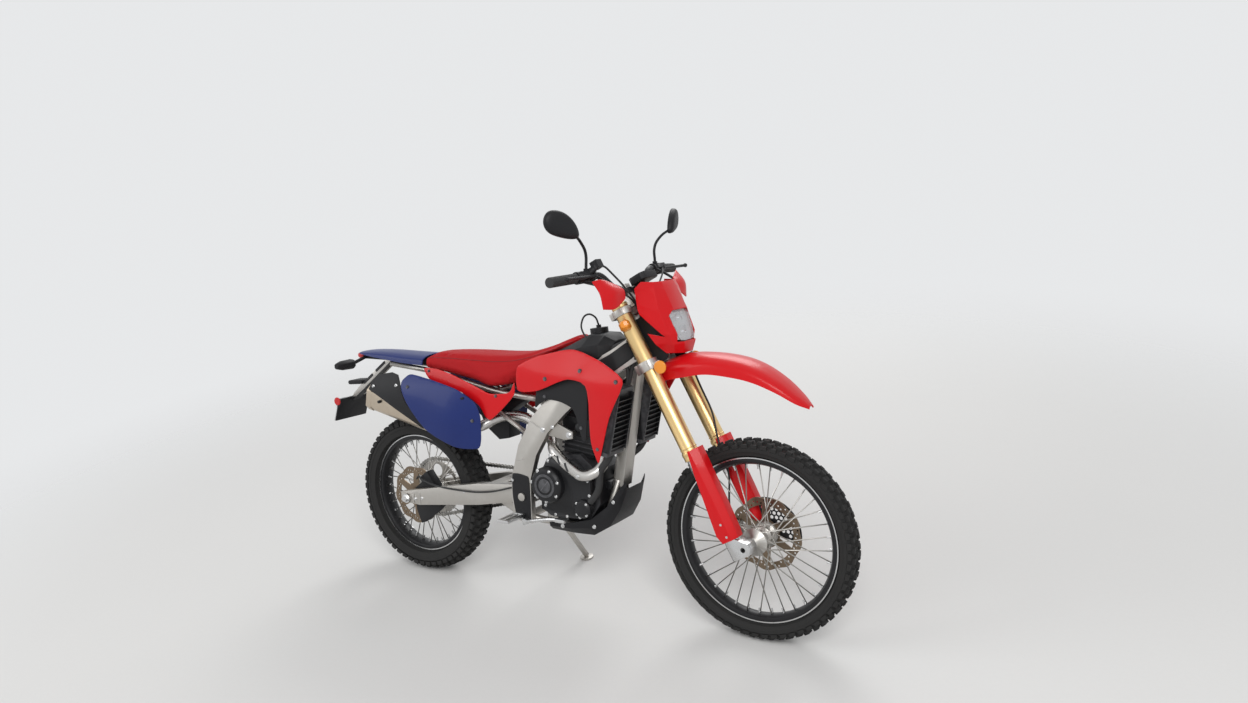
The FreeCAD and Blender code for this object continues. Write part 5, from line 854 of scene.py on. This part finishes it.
def bolts(name, body, rows, material=bright_steel, matrix=BIKE):
    """Bolt heads at rows of x, y, z, facing direction and head radius in millimetres."""
    mesh = bpy.data.meshes.new(name)
    mesh.from_pydata([matrix @ Vector(row[:3]) for row in rows], [], [])
    mesh.attributes.new("facing", "FLOAT_VECTOR", "POINT")
    mesh.attributes.new("size", "FLOAT", "POINT")
    for number, row in enumerate(rows):
        mesh.attributes["facing"].data[number].vector = (matrix.to_3x3() @ Vector(row[3])).normalized()
        mesh.attributes["size"].data[number].value = row[4] / 1000
    piece = with_tree(linked(name, mesh), BOLT, Material=material)
    return stands_for(smoothed(piece, 30), body=body)


def skin(piece, x, z, side, matrix=BIKE, far=420):
    """The side surface of a piece at x, z: its y, or None where the ray misses."""
    bpy.context.view_layer.update()
    start, way = matrix @ Vector((x, side * far, z)), (matrix.to_3x3() @ Vector((0, -side, 0))).normalized()
    hit, place, _, _ = piece.ray_cast(start, way)
    return (matrix.inverted() @ place).y if hit else None


def side_bolts(name, piece, side, spots, body, material=bright_steel):
    """Bolts on a piece's side surface at rows of x, z and head radius."""
    rows = [(x, skin(piece, x, z, side), z, (0, side, 0), r) for x, z, r in spots]
    missed = [row for row in rows if row[1] is None]
    if missed:
        print(name, "misses the surface at", [(row[0], row[2]) for row in missed])
    return bolts(name, body, [row for row in rows if row[1] is not None], material)


def tube(name, points, radius, material, matrix=BIKE, loops=3):
    """A round tube along a smooth curve through points in millimetres."""
    data = bpy.data.curves.new(name, "CURVE")
    data.dimensions, data.bevel_depth, data.bevel_resolution = "3D", radius / 1000, loops
    data.resolution_u, data.use_fill_caps = 8, True
    spline = data.splines.new("BEZIER")
    spline.bezier_points.add(len(points) - 1)
    for knot, point in zip(spline.bezier_points, points):
        knot.co = matrix @ Vector(point)
        knot.handle_left_type = knot.handle_right_type = "AUTO"
    route = linked(name + "_route", data)
    graph = bpy.context.evaluated_depsgraph_get()
    mesh = bpy.data.meshes.new_from_object(route.evaluated_get(graph))
    bpy.data.objects.remove(route)
    mesh.materials.clear()
    mesh.materials.append(material)
    return smoothed(linked(name, mesh), 40)


BOLT = bolt_tree()

# %% [markdown]
# ## Wheel details
# A laced wheel has a nipple at the rim for each spoke, and the rim's turned edge shines where the black
# coat ends. Both repeat evenly, so the ring tree makes them from one nipple on each side.

# %% Wheel details
NIPPLE_PAIRS, RIM_DEPTH = 18, 26.8


def nipples(name, centre, rim_in, body, sides=8):
    """A pair of spoke nipples inside the rim, repeated all round it."""
    points, faces = [], []
    for number, y in enumerate((4.5, -4.5)):
        turn = number * math.pi / NIPPLE_PAIRS
        out = Vector((math.cos(turn), 0, math.sin(turn)))
        across = Vector((-out.z, 0, out.x))
        base = len(points)
        points += [Vector(centre) + out * (rim_in + reach) + across * radius * c + Vector((0, y + radius * s, 0))
                   for reach, radius in ((2, 4.2), (-3, 4.2), (-4, 3.1), (-16, 2.7)) for c, s in turns(sides)]
        faces += [tuple(base + n for n in face) for face in quads(4, sides, around=True)]
        faces.append(tuple(base + 3 * sides + n for n in range(sides)))
    piece = merged(piece_from(name, points, faces, bright_steel))
    with_tree(piece, RING, Count=NIPPLE_PAIRS, Centre=tuple(BIKE @ Vector(centre)), Axis=AXLE_WAY,
              Material=bright_steel)
    return stands_for(smoothed(piece, 30), body=body)


def rim_edge(name, centre, rim_r, half, body):
    """The bright turned edge on both sides of a black rim."""
    edge = ((-0.6, 4.5), (0.5, 4.2), (0.5, 0.4), (-0.6, 0.2))
    rings = [lathe(f"{name}_{side}", [(side * (half + out), rim_r - below) for out, below in edge], centre,
                   bright_steel, 144) for side in (1, -1)]
    return stands_for(joined(name, *rings), body=body)


for wheel, (centre, _, _, rim_r, rim_w, *_) in WHEELS.items():
    nipples(f"{wheel}_nipples", centre, rim_r - RIM_DEPTH, f"{wheel}_wheel")
    rim_edge(f"{wheel}_rim_edge", centre, rim_r, rim_w / 2, f"{wheel}_wheel")
print("wheels with details:", len(WHEELS), "nipples on each:", 2 * NIPPLE_PAIRS)

# %% [markdown]
# ## The chain
# A roller chain is pairs of waisted plates on pins, inner and outer in turn. The pins stand one pitch
# apart on the loop round both sprockets, so two plates, a roller and a pin repeat along it.

# %% The chain
PITCH, CHAIN_Y, FRONT_SPROCKET = 15.875, 71.0, Vector((694.0, 0, 424.0))
INNER_PLATE, OUTER_PLATE, PLATE = 4.8, 6.0, 1.0
# radius and half length
ROLLER, PIN = (4.9, 4.7), (2.2, 7.0)


def chain_pins(rear_teeth=48, front_teeth=13):
    """The pins' places on the loop, worked out from both sprockets."""
    rear_r, front_r = (PITCH / (2 * math.sin(math.pi / teeth)) for teeth in (rear_teeth, front_teeth))
    rear = Vector((0, 0, REAR_R))
    way = FRONT_SPROCKET - rear
    slope, taper = math.atan2(way.z, way.x), math.asin((rear_r - front_r) / way.length)
    run, rear_wrap, front_wrap = way.length * math.cos(taper), math.pi + 2 * taper, math.pi - 2 * taper
    front_arc = front_r * front_wrap
    length = 2 * run + rear_r * rear_wrap + front_arc
    count, top = 2 * round(length / PITCH / 2), math.pi / 2 + slope - taper
    pins = []
    for number in range(count):
        at = length * number / count
        if at < run:
            turn, centre, radius, ahead = top, rear, rear_r, at
        elif at < run + front_arc:
            turn, centre, radius, ahead = top - (at - run) / front_r, FRONT_SPROCKET, front_r, 0
        elif at < 2 * run + front_arc:
            turn, centre, radius, ahead = top - front_wrap, FRONT_SPROCKET, front_r, at - run - front_arc
        else:
            turn, centre, radius, ahead = top - front_wrap - (at - 2 * run - front_arc) / rear_r, rear, rear_r, 0
        out = Vector((math.cos(turn), 0, math.sin(turn)))
        pins.append(centre + out * radius + Vector((out.z, 0, -out.x)) * ahead)
    return pins


def prism(points, faces, outline, y0, y1):
    """Adds a closed flat plate with an outline in the side view to lists of points and faces."""
    base, count = len(points), len(outline)
    points += [(p.x, y, p.z) for y in (y0, y1) for p in outline]
    faces += [tuple(base + n for n in range(count)), tuple(base + count + n for n in reversed(range(count)))]
    faces += [(base + (n + 1) % count, base + n, base + count + n, base + count + (n + 1) % count)
              for n in range(count)]


def link_outline(a, b, radius=7.3, waist=4.6):
    """A chain plate round two pins, drawn in between them."""
    along = (b - a).normalized()
    up = Vector((-along.z, 0, along.x))
    ends = []
    for pin, start in ((a, 60), (b, -120)):
        ends += [pin + along * radius * math.cos(math.radians(t)) + up * radius * math.sin(math.radians(t))
                 for t in range(start, start + 241, 40)]
    middle = (a + b) / 2
    return ends[:7] + [middle - up * waist] + ends[7:] + [middle + up * waist]


def chain_piece():
    """Inner and outer plates in turn, and a roller with its pin at each joint."""
    pins, points, faces = chain_pins(), [], []
    for number, (a, b) in enumerate(zip(pins, pins[1:] + pins[:1])):
        near = INNER_PLATE if number % 2 else OUTER_PLATE
        for side in (1, -1):
            y0, y1 = sorted((CHAIN_Y + side * near, CHAIN_Y + side * (near + PLATE)))
            prism(points, faces, link_outline(a, b), y0, y1)
        for radius, half in (ROLLER, PIN):
            outline = [a + Vector((c, 0, s)) * radius for c, s in turns(8)]
            prism(points, faces, outline, CHAIN_Y - half, CHAIN_Y + half)
    return merged(piece_from("chain_links", points, faces, chain_steel))


chain = stands_for(smoothed(chain_piece(), 30), "chain")
print("chain triangles:", triangles(chain))

# %% [markdown]
# ## Seat seams
# A seat cover is sewn from a top and two sides. The seams are thin cords laid on the swollen surface,
# which a ray from the side finds at every station.

# %% Seat seams
SEAM_START, SEAM_END, SEAM_STEPS, SEAM_R = 112, 800, 26, 1.5


def seam_route(side):
    """The sewn edge between the seat's top and one side, where the ray finds the cover."""
    route = []
    for n in range(SEAM_STEPS + 1):
        x = SEAM_START + (SEAM_END - SEAM_START) * n / SEAM_STEPS
        _, zm, z1, *_ = row_at(SEAT, x)
        z = z1 - 9 - 0.1 * (z1 - zm)
        y = skin(seat, x, z, side)
        if y is not None:
            route.append((x, y + side * 0.2, z))
    return route


for side, word in SIDES[::-1]:
    stands_for(tube(f"seat_seam_{word}", seam_route(side), SEAM_R, seam_thread, loops=2), body="chassis")
print("seams on the seat, steps in each:", SEAM_STEPS)

# %% [markdown]
# ## The headlight
# Behind the clear lens stand two stacked light-emitting modules in a dark case, each with a bright
# reflector bowl, and a white running-light strip down both edges.

# %% The headlight
LENS = [(-59, 1013), (59, 1013), (69, 1100), (51, 1117), (-51, 1117), (-69, 1100)]
LENS_MIDDLE, LENS_TOP, LENS_SLOPE = 1065, 1118, 0.36
LENS_HALF, LENS_X, BOWL_X, CHIP_X = (66, 60), 1212, 1200, 1190
LAMP_HEIGHTS = (1086, 1040)


def lens_sheet(name, scale, ahead, material, thickness, bulge=7.0, cells=10):
    """A bulged sheet with the lens's outline, scaled about its middle and moved ahead."""
    outline = [(y * scale, LENS_MIDDLE + (z - LENS_MIDDLE) * scale) for y, z in LENS]
    spots, faces = filled(cut_corners(outline, (0.14, 0.26)), cells, 0.5)
    points = []
    for y, z in spots:
        crown = bulge * (1 - (y / LENS_HALF[0]) ** 2) * (1 - ((z - LENS_MIDDLE) / LENS_HALF[1]) ** 2)
        points.append((LENS_X + ahead + (LENS_TOP - z) * LENS_SLOPE + crown - bulge, y, z))
    return thickened(faced(piece_from(name, points, faces, material), 0), thickness)


def lamp_bowl(name, z, radius, depth=26, sides=28):
    """A round reflector bowl that opens forwards."""
    x = BOWL_X + (LENS_TOP - z) * LENS_SLOPE
    rings = [(radius + 2, 2), (radius, 2), (radius * 0.86, -depth * 0.35), (radius * 0.55, -depth * 0.8),
             (radius * 0.22, -depth), (0.5, -depth)]
    points = [(x + ahead - 4, reach * s, z + reach * c) for reach, ahead in rings for c, s in turns(sides)]
    return smoothed(piece_from(name, points, quads(len(rings), sides, around=True), mirror_chrome), 40)


def light_chip(z):
    """The chip across the middle of a bowl, made bright by a painted glow."""
    x = CHIP_X + (LENS_TOP - z) * LENS_SLOPE
    return tube(f"chip_{z}", [(x, -9, z), (x, 9, z)], 5, lamp_white_painted_glow)


def light_strip(side):
    """The running light along one edge of the lens, made bright by a painted glow."""
    route = [(1217, side * 30, 1020), (1206, side * 45, 1062), (1190, side * 49, 1106)]
    return tube(f"strip_{side}", route, 4.2, lamp_white_painted_glow)


glass = lens_sheet("lens_glass", 1.0, 0, clear_lens, 2.4)
surround = lens_sheet("lens_back", 0.98, -17, plate_metal, 2.0, bulge=2.0)
bowls = joined("lamp_bowls", *[lamp_bowl(f"bowl_{z}", z, 21) for z in LAMP_HEIGHTS])
strips = joined("light_strips", *[light_strip(side) for side in (1, -1)])
chips = joined("light_chips", *[light_chip(z) for z in LAMP_HEIGHTS])
# the black panels between the fork and the shell: outline, stations, heights, y at each station
COWL = [(1072, 1152), (1100, 1148), (1138, 1088), (1168, 1047), (1206, 1018), (1204, 984), (1198, 950),
        (1158, 934), (1128, 950), (1100, 1005), (1070, 1078), (1100, 1092), (1086, 1122)]
COWL_X, COWL_Z, COWL_Y = [1070, 1140, 1210], [940, 1150], (74, 70, 60)
for side, word in SIDES:
    cowl = panel(f"cowl_inner_{word}", COWL, COWL_X, COWL_Z, [[side * y] * 2 for y in COWL_Y], black_plastic)
    stands_for(cowl, body="steering")
stands_for(glass, "headlight_lens")
for piece in (surround, bowls, strips, chips):
    stands_for(piece, body="steering")
print("headlight bowls:", len(LAMP_HEIGHTS), "glass triangles:", triangles(glass))

# %% [markdown]
# ## Handlebar pieces
# Grips are ribbed rubber, the mirrors are smooth drop-shaped shells with a glass, and the hand guards are
# folded shields on a black stay. They are drawn in the fork's frame, where the bar is nearly level.

# %% Handlebar pieces
GRIP_IN, GRIP_OUT, PERCH_Y, GUARD_Y = 287.0, 407.0, 230.0, 160.0


def on_bar(y):
    """The handlebar's middle at a distance from the bike's middle, in the fork frame."""
    share = (abs(y) - 165.0) / 240.0
    return Vector((42.0 - 33.0 * share, y, 1392.0 + 6.0 * share))


def sleeve(name, rows, side, material, sides=28):
    """A turned shape on the handlebar, through rows of distance from the middle and radius."""
    points = [on_bar(side * y) + Vector((radius * c, 0, radius * s))
              for y, radius in rows for c, s in turns(sides)]
    faces = quads(len(rows), sides, around=True)
    faces += [tuple(range(sides)), tuple((len(rows) - 1) * sides + n for n in range(sides))]
    return smoothed(merged(piece_from(name, points, faces, material, FORK)), 38)


def grip(side):
    """A rubber grip with raised ribs and a flange at both ends."""
    rows = [(GRIP_IN, 16.8), (GRIP_IN, 17.4), (GRIP_IN + 4, 17.4), (GRIP_IN + 5, 16.2)]
    y = GRIP_IN + 8
    while y < GRIP_OUT - 8:
        rows += [(y, 16.2), (y + 0.8, 17.3), (y + 2.8, 17.3), (y + 3.6, 16.2)]
        y += 5.2
    rows += [(GRIP_OUT - 4, 16.4), (GRIP_OUT - 3, 17.4), (GRIP_OUT, 17.2), (GRIP_OUT + 0.5, 15.0)]
    return sleeve(f"grip_{side}", rows, side, soft_rubber)


def soft_guard(side, steps=14):
    """A hand guard's shield: a three by three net of corners under a smooth sheet."""
    net = [[(106, 24, 1270), (114, 22, 1298), (104, 30, 1322)], [(90, 84, 1246), (112, 84, 1296), (96, 92, 1352)],
           [(72, 126, 1256), (88, 130, 1306), (78, 124, 1356)]]
    stops, points = [0, 1, 2], []
    for i in range(steps + 1):
        columns = [[curve_value(stops, [net[c][r][k] for c in stops], 2 * i / steps) for k in range(3)]
                   for r in stops]
        for j in range(steps + 1):
            f, y, s = (curve_value(stops, [columns[r][k] for r in stops], 2 * j / steps) for k in range(3))
            points.append((f, side * (GUARD_Y + y), s))
    piece = piece_from(f"hand_guard_{side}", points, quads(steps + 1, steps + 1), red_plastic, FORK)
    return thickened(faced(piece, 0), 3.8)


def guard_stay(side):
    """The guard's black clamp round the bar and its arm."""
    hold = on_bar(side * 205)
    arm = tube(f"guard_arm_{side}", [
        (hold.x + 12, hold.y, hold.z - 6), (hold.x + 40, hold.y, hold.z - 42), (107, hold.y, 1304)],
        5, black_plastic, FORK)
    rows = [(199, 14.4), (199, 18.2), (200, 19), (210, 19), (211, 18.2), (211, 14.4)]
    clamp = sleeve(f"guard_clamp_{side}", rows, side, black_plastic)
    return joined(f"guard_stay_{side}", clamp, arm)


def mirror(side):
    """A drop-shaped shell on a bent stem, with its glass towards the rider."""
    drop = cut_corners([(-58, -50), (-48, -12), (-16, 23), (24, 42), (62, 40), (82, 18), (82, -10), (60, -34),
                        (10, -48), (-30, -54)], (0.25, 0.25, 0.25))
    place = Matrix.Translation((990, 352, 1420)) @ Matrix.Rotation(math.radians(17), 4, "Z")
    rings = ((0, 0.9), (0, 0.97), (3, 1.0), (8, 1.0), (15, 0.95), (20, 0.84), (23.5, 0.62), (24, 0.3))
    points = [place @ Vector((depth, u * scale, v * scale)) for depth, scale in rings for u, v in drop]
    count, last = len(drop), len(rings) - 1
    faces = quads(len(rings), count, around=True) + [tuple(last * count + n for n in range(count))]
    points = [(p.x, side * p.y, p.z) for p in points]
    shell = smoothed(merged(piece_from(f"mirror_shell_{side}", points, faces, black_plastic)), 40)
    pane = [place @ Vector((0.4, u * 0.905, v * 0.905)) for u, v in drop]
    glass = piece_from(f"mirror_glass_{side}", [(p.x, side * p.y, p.z) for p in pane], [tuple(range(count))],
                       mirror_chrome)
    foot = BIKE.inverted() @ FORK @ on_bar(side * PERCH_Y)
    stem = tube(f"mirror_stem_{side}", [
        (foot.x, foot.y, foot.z + 27), (foot.x, foot.y, foot.z + 78),
        (foot.x + 4, foot.y + side * 30, foot.z + 112), (1010, side * 330, 1388)], 5, black_paint)
    return joined(f"mirror_{side}", shell, stem), faced(glass, 0, -1)


for side in (1, -1):
    stands_for(grip(side), "grips")
    stands_for(soft_guard(side), "hand_guards")
    stands_for(guard_stay(side), body="steering")
    body_piece, glass_piece = mirror(side)
    stands_for(body_piece, "mirrors")
    stands_for(glass_piece, body="steering")
print("handlebar pieces on", BODY["mirrors"])

# %% [markdown]
# ## Rings at the fork's seals
# The outer tubes end in a few turned ridges above their seals. Each ridge is a thin tube bent into a ring.

# %% Rings at the fork's seals
SEAL_RINGS, RING_GAP, RING_R, LEG_Y, SEAL_S = 4, 10.0, 28.3, 106, 710


def seal_ring(number, side, steps=16):
    """One ridge round a leg of the fork."""
    bends = [2 * math.pi * n / steps for n in range(steps + 1)]
    route = [(CLAMP_OFFSET + RING_R * math.cos(bend), side * LEG_Y + RING_R * math.sin(bend),
              SEAL_S + number * RING_GAP) for bend in bends]
    return tube(f"seal_ring_{number}", route, 1.8, gold_anodised, FORK)


for side, word in SIDES:
    ridges = joined(f"fork_seal_rings_{word}", *[seal_ring(number, side) for number in range(SEAL_RINGS)])
    stands_for(ridges, body="steering")
print("seal rings on each leg:", SEAL_RINGS)

# %% [markdown]
# ## Cables and hoses
# Cables run from the levers and the twist grip to the steering head, and a wiring loom and the radiator
# hoses run along the frame. Each follows a few given points.

# %% Cables and hoses
def mirrored_route(points):
    return [(x, -y, z) for x, y, z in points]


SWITCH_LEAD = [(34, -262, 1374), (24, -190, 1366), (16, -110, 1322), (34, -66, 1262)]
LOOM = [(900, -66, 930), (950, -66, 962), (1004, -52, 992), (1046, -40, 1002), (1060, -40, 966), (1044, -48, 900),
        (1030, -56, 838)]
# on the steering, in the fork frame: name, radius, points
STEERING_CORDS = [
    ("throttle_cable_a", 3.2, [(36, -258, 1378), (66, -214, 1352), (84, -140, 1318), (66, -66, 1262),
                               (40, -50, 1180), (38, -46, 1090)]),
    ("throttle_cable_b", 3.2, [(30, -258, 1376), (58, -208, 1340), (74, -134, 1302), (58, -60, 1252),
                               (36, -42, 1180), (36, -38, 1090)]),
    ("clutch_cable", 3.2, [(66, 222, 1378), (88, 160, 1348), (80, 92, 1296), (60, 56, 1240), (40, 44, 1160),
                           (38, 44, 1090)]),
    ("switch_lead_right", 3.0, SWITCH_LEAD),
    ("switch_lead_left", 3.0, mirrored_route(SWITCH_LEAD)),
]
# on the frame, in the bike frame
CHASSIS_CORDS = [
    ("loom_right", 9.0, LOOM),
    ("loom_right_low", 6.0, [(905, -74, 906), (960, -72, 932), (1010, -60, 950), (1034, -58, 906),
                             (1026, -62, 830)]),
    ("loom_left", 9.0, mirrored_route(LOOM)),
    ("tank_vent_hose", 3.4, [(882, 0, 1052), (872, -10, 1082), (850, -26, 1090), (838, -44, 1062),
                             (852, -58, 1030), (884, -66, 1004), (918, -74, 960)]),
    ("right_radiator_hose", 13.0, [(996, -116, 618), (980, -118, 590), (948, -118, 548), (930, -112, 470),
                                   (896, -112, 424)]),
    ("left_radiator_hose", 13.0, [(996, 110, 618), (978, 104, 588), (952, 84, 560), (936, 60, 520),
                                  (920, 40, 500)]),
    ("rear_brake_hose", 3.4, [(560, -112, 440), (420, -116, 402), (260, -118, 392), (140, -112, 396),
                              (70, -98, 404)]),
    ("rear_brake_hose_loop", 3.4, [(70, -98, 404), (40, -88, 412), (22, -80, 398)]),
]
for body, matrix, cords in (("steering", FORK, STEERING_CORDS), ("chassis", BIKE, CHASSIS_CORDS)):
    for name, radius, points in cords:
        stands_for(tube(name, points, radius, soft_rubber, matrix), body=body)
print("cords:", len(STEERING_CORDS) + len(CHASSIS_CORDS))

# %% [markdown]
# ## Engine, frame and panel fasteners
# What shows that an engine is put together are its fasteners: a ring of bolts round the clutch cover,
# bolts along the case joints and nuts at the axles. A ray from the side finds the surface under each.

# %% Engine, frame and panel fasteners
CLUTCH, ROTOR = (718.0, 470.0), (820.0, 440.0)


def circle(centre, radius, count, head, start=0.0):
    """Rows of x, z and head radius evenly round a centre."""
    return [(centre[0] + radius * math.cos(start + 2 * math.pi * n / count),
             centre[1] + radius * math.sin(start + 2 * math.pi * n / count), head) for n in range(count)]


# name, node, side, spots of x, z and head radius
FASTENERS = [
    ("clutch_bolts", "engine_covers", -1, circle(CLUTCH, 59, 7, 4.2, 0.3)),
    ("case_bolts_right", "engine_covers", -1, [
        (694, 386, 4), (684, 424, 4), (684, 524, 4), (712, 556, 4), (766, 560, 4), (820, 558, 4), (884, 500, 4),
        (890, 446, 4), (846, 360, 4), (790, 356, 4), (738, 356, 4)]),
    ("pump_bolts", "engine_covers", -1, circle((868.0, 398.0), 29, 4, 3.6, 0.8)),
    ("rotor_bolts", "engine_covers", 1, circle(ROTOR, 57, 6, 4.2)),
    ("case_bolts_left", "engine_covers", 1, [
        (738, 470, 4), (748, 380, 4), (888, 402, 4), (894, 484, 4), (852, 540, 4), (772, 532, 4)]),
    ("hanger_bolts_right", "frame", -1, [
        (704, 674, 7), (806, 660, 8), (748, 688, 5), (600, 330, 6), (560, 470, 6)]),
    ("hanger_bolts_left", "frame", 1, [(704, 674, 7), (806, 660, 8), (748, 688, 5), (600, 330, 6)]),
    ("axle_nuts_right", "swingarm", -1, [(0, 325, 13), (40, 325, 5), (76, 332, 4.5), (300, 388, 4.5)]),
    ("axle_nuts_left", "swingarm", 1, [(0, 325, 13), (40, 325, 5)]),
    ("shield_bolts", "exhaust_header", -1, [(768, 596, 5), (880, 530, 5)]),
    ("guard_bolts", "muffler_guard", -1, [(-84, 792, 5), (36, 802, 5)]),
    ("skid_bolts", "skid_plate", -1, [(760, 312, 5.5), (900, 330, 5.5), (980, 430, 5)]),
]
GUARD_BOLT = {"across": 139.4, "ahead": 28, "above": (60, 104), "head": 4.5}
for name, node, side, spots in FASTENERS:
    side_bolts(name, fine[node], side, spots, BODY[node])
for side, word in SIDES:
    bolts(f"fork_guard_bolts_{word}", "steering", [
        (GUARD_BOLT["ahead"], side * GUARD_BOLT["across"], AXLE_S + above, (0, side, 0), GUARD_BOLT["head"])
        for above in GUARD_BOLT["above"]], matrix=FORK)
PANEL_SPOTS = [
    ("shroud_screws", "shroud", [(742, 868, 5.5), (905, 908, 6), (1074, 886, 5.5), (976, 640, 4.5)]),
    ("side_cover_screws", "side_cover", [(96, 800, 5), (408, 690, 5)]),
    ("strip_screws", "seat_strip", [(150, 856, 4.5), (500, 786, 4.5)]),
    ("spar_cover_screws", "spar_cover", [(724, 800, 4.5), (884, 700, 4.5)]),
]
for name, part, spots in PANEL_SPOTS:
    for side, word in SIDES:
        side_bolts(f"{name}_{word}", panels[f"{part}_{word}"], side, spots, "chassis", black_paint)
# a raised ring and a round cap in its middle: distance from the bike's middle and radius
for name, profile in (("clutch_ring", [(-146.5, 44), (-149.5, 42.5), (-149.5, 36), (-146.5, 34.5)]),
                      ("clutch_badge_plate", [(-146.5, 26), (-148, 24), (-148, 0.5), (-146.5, 0.5)])):
    stands_for(lathe(name, profile, (CLUTCH[0], 0, CLUTCH[1]), black_paint), body="chassis")


def skin_route(node, side, start, end, steps):
    """Points along a straight line in the side view, on the side of a piece where there is one."""
    spots = [tuple(a + (b - a) * n / steps for a, b in zip(start, end)) for n in range(steps + 1)]
    return [(x, y, z) for x, y, z in ((x, skin(fine[node], x, z, side), z) for x, z in spots) if y is not None]


def weld_bead(name, node, side, start, end):
    """A weld seam laid over a piece's side."""
    route = [(x, y + side * 0.2, z) for x, y, z in skin_route(node, side, start, end, 26)]
    stands_for(tube(name, route, 2.4, cast_aluminium, loops=2), body=BODY[node])


def skin_cover(name, node, outline, side, material, lift, thickness, step=9.0):
    """A thin cover that follows the side of a piece inside an outline."""
    spots, faces = filled(cut_corners(outline, (0.12, 0.26)), step)
    last, points = side * 120.0, []
    for x, z in spots:
        y = skin(fine[node], x, z, side)
        last = last if y is None else y
        points.append((x, last + side * lift, z))
    return thickened(faced(piece_from(name, points, faces, material), 1, side), thickness)


# SPAR_FRONT outlines a black sheet laid on the front of the spars: painted shade that darkens the frame where it
# lies under the tank
SPAR_FRONT = [(1040, 1010), (985, 962), (886, 908), (914, 848), (1008, 908), (1072, 962)]
PIVOT_GUARD = [(556, 500), (636, 492), (637, 410), (637, 322), (570, 322), (554, 410)]
SHIELD_SLOTS = [((788, 592), (804, 564)), ((824, 571), (840, 543))]
# name, node, start and end in the side view
WELDS = [("spar_weld", "frame", (622, 716), (700, 676)), ("pivot_weld", "frame", (548, 540), (612, 556)),
         ("arm_weld", "swingarm", (64, 300), (64, 352))]
# the first sheet below, on the front of the spars, is painted shade
# name, outline, how far it lies off the frame, thickness
SKIN_COVERS = [("spar_sleeve", SPAR_FRONT, 2.6, 2.4), ("pivot_guard", PIVOT_GUARD, 1.8, 1.6)]
for side, word in SIDES:
    for name, outline, lift, thickness in SKIN_COVERS:
        cover = skin_cover(f"{name}_{word}", "frame", outline, side, black_plastic, lift, thickness)
        stands_for(cover, body="chassis")
for n, (start, end) in enumerate(SHIELD_SLOTS):
    route = [(x, y + 0.8, z) for x, y, z in skin_route("exhaust_header", -1, start, end, 4)]
    stands_for(tube(f"shield_slot_{n}", route, 4.2, black_paint), body="chassis")
for side, word in SIDES:
    for name, node, start, end in WELDS:
        weld_bead(f"{name}_{word}", node, side, start, end)
print("fasteners:", len(FASTENERS) + 2 * len(PANEL_SPOTS))

# %% [markdown]
# ## Tail and plate holder
# The plate hangs on an arm of bent metal with two long slots. Round red reflectors sit at both sides of
# the plate, and a small black lamp shines on it from above.

# %% Tail and plate holder
PLATE_ARM = [(-150, 888), (-322, 760), (-372, 716), (-380, 700), (-360, 704), (-312, 738), (-136, 872)]
ARM_SLOTS = [(-176, 861, -226, 824), (-252, 804, -302, 767)]
REFLECTOR = [(88, 17), (92, 17), (93.5, 15), (93.5, 0.5), (88, 0.5)]
REFLECTOR_X, REFLECTOR_Z = -403, 690


def slab(name, outline, y_ends, material, edge=1.0):
    """A flat plate with an outline in the side view, between two distances from the middle."""
    points, faces = [], []
    prism(points, faces, [Vector((x, 0, z)) for x, z in outline], *sorted(y_ends))
    piece = rounded_edges(merged(piece_from(name, points, faces, material)), edge)
    return stands_for(piece, body="chassis")


def capsule(x0, z0, x1, z1, radius, sides=8):
    """A long hole's outline from one end to the other."""
    along = math.atan2(z1 - z0, x1 - x0)
    return [(x + radius * math.cos(along + turn + math.pi * n / sides),
             z + radius * math.sin(along + turn + math.pi * n / sides))
            for x, z, turn in ((x0, z0, math.pi / 2), (x1, z1, -math.pi / 2)) for n in range(sides + 1)]


for side, word in SIDES:
    slab(f"plate_arm_{word}", PLATE_ARM, (side * 22.3, side * 25.3), bare_aluminium)
    for n, ends in enumerate(ARM_SLOTS):
        slab(f"arm_slot_{word}_{n}", capsule(*ends, 6), (side * 24.6, side * 25.6), black_paint, 0.2)
    reflector = lathe(f"plate_reflector_{word}", [(side * y, r) for y, r in REFLECTOR],
                      (REFLECTOR_X, 0, REFLECTOR_Z), red_lens, 40)
    stands_for(reflector, body="chassis")
    tab = capsule(REFLECTOR_X, REFLECTOR_Z, REFLECTOR_X, REFLECTOR_Z - 14, 12)
    slab(f"reflector_tab_{word}", tab, (side * 84, side * 88), black_plastic)
slab("plate_lamp", capsule(-318, 770, -384, 764, 9), (-34, 34), black_plastic, 3.0)
slot_y = skin(panels["side_cover_right"], 361, 771, -1)
slab("cover_slot", capsule(353, 768, 369, 774, 4.5), (slot_y - 0.6, slot_y + 4), black_plastic, 0.3)
print("tail pieces:", 2 * (3 + len(ARM_SLOTS)) + 1)
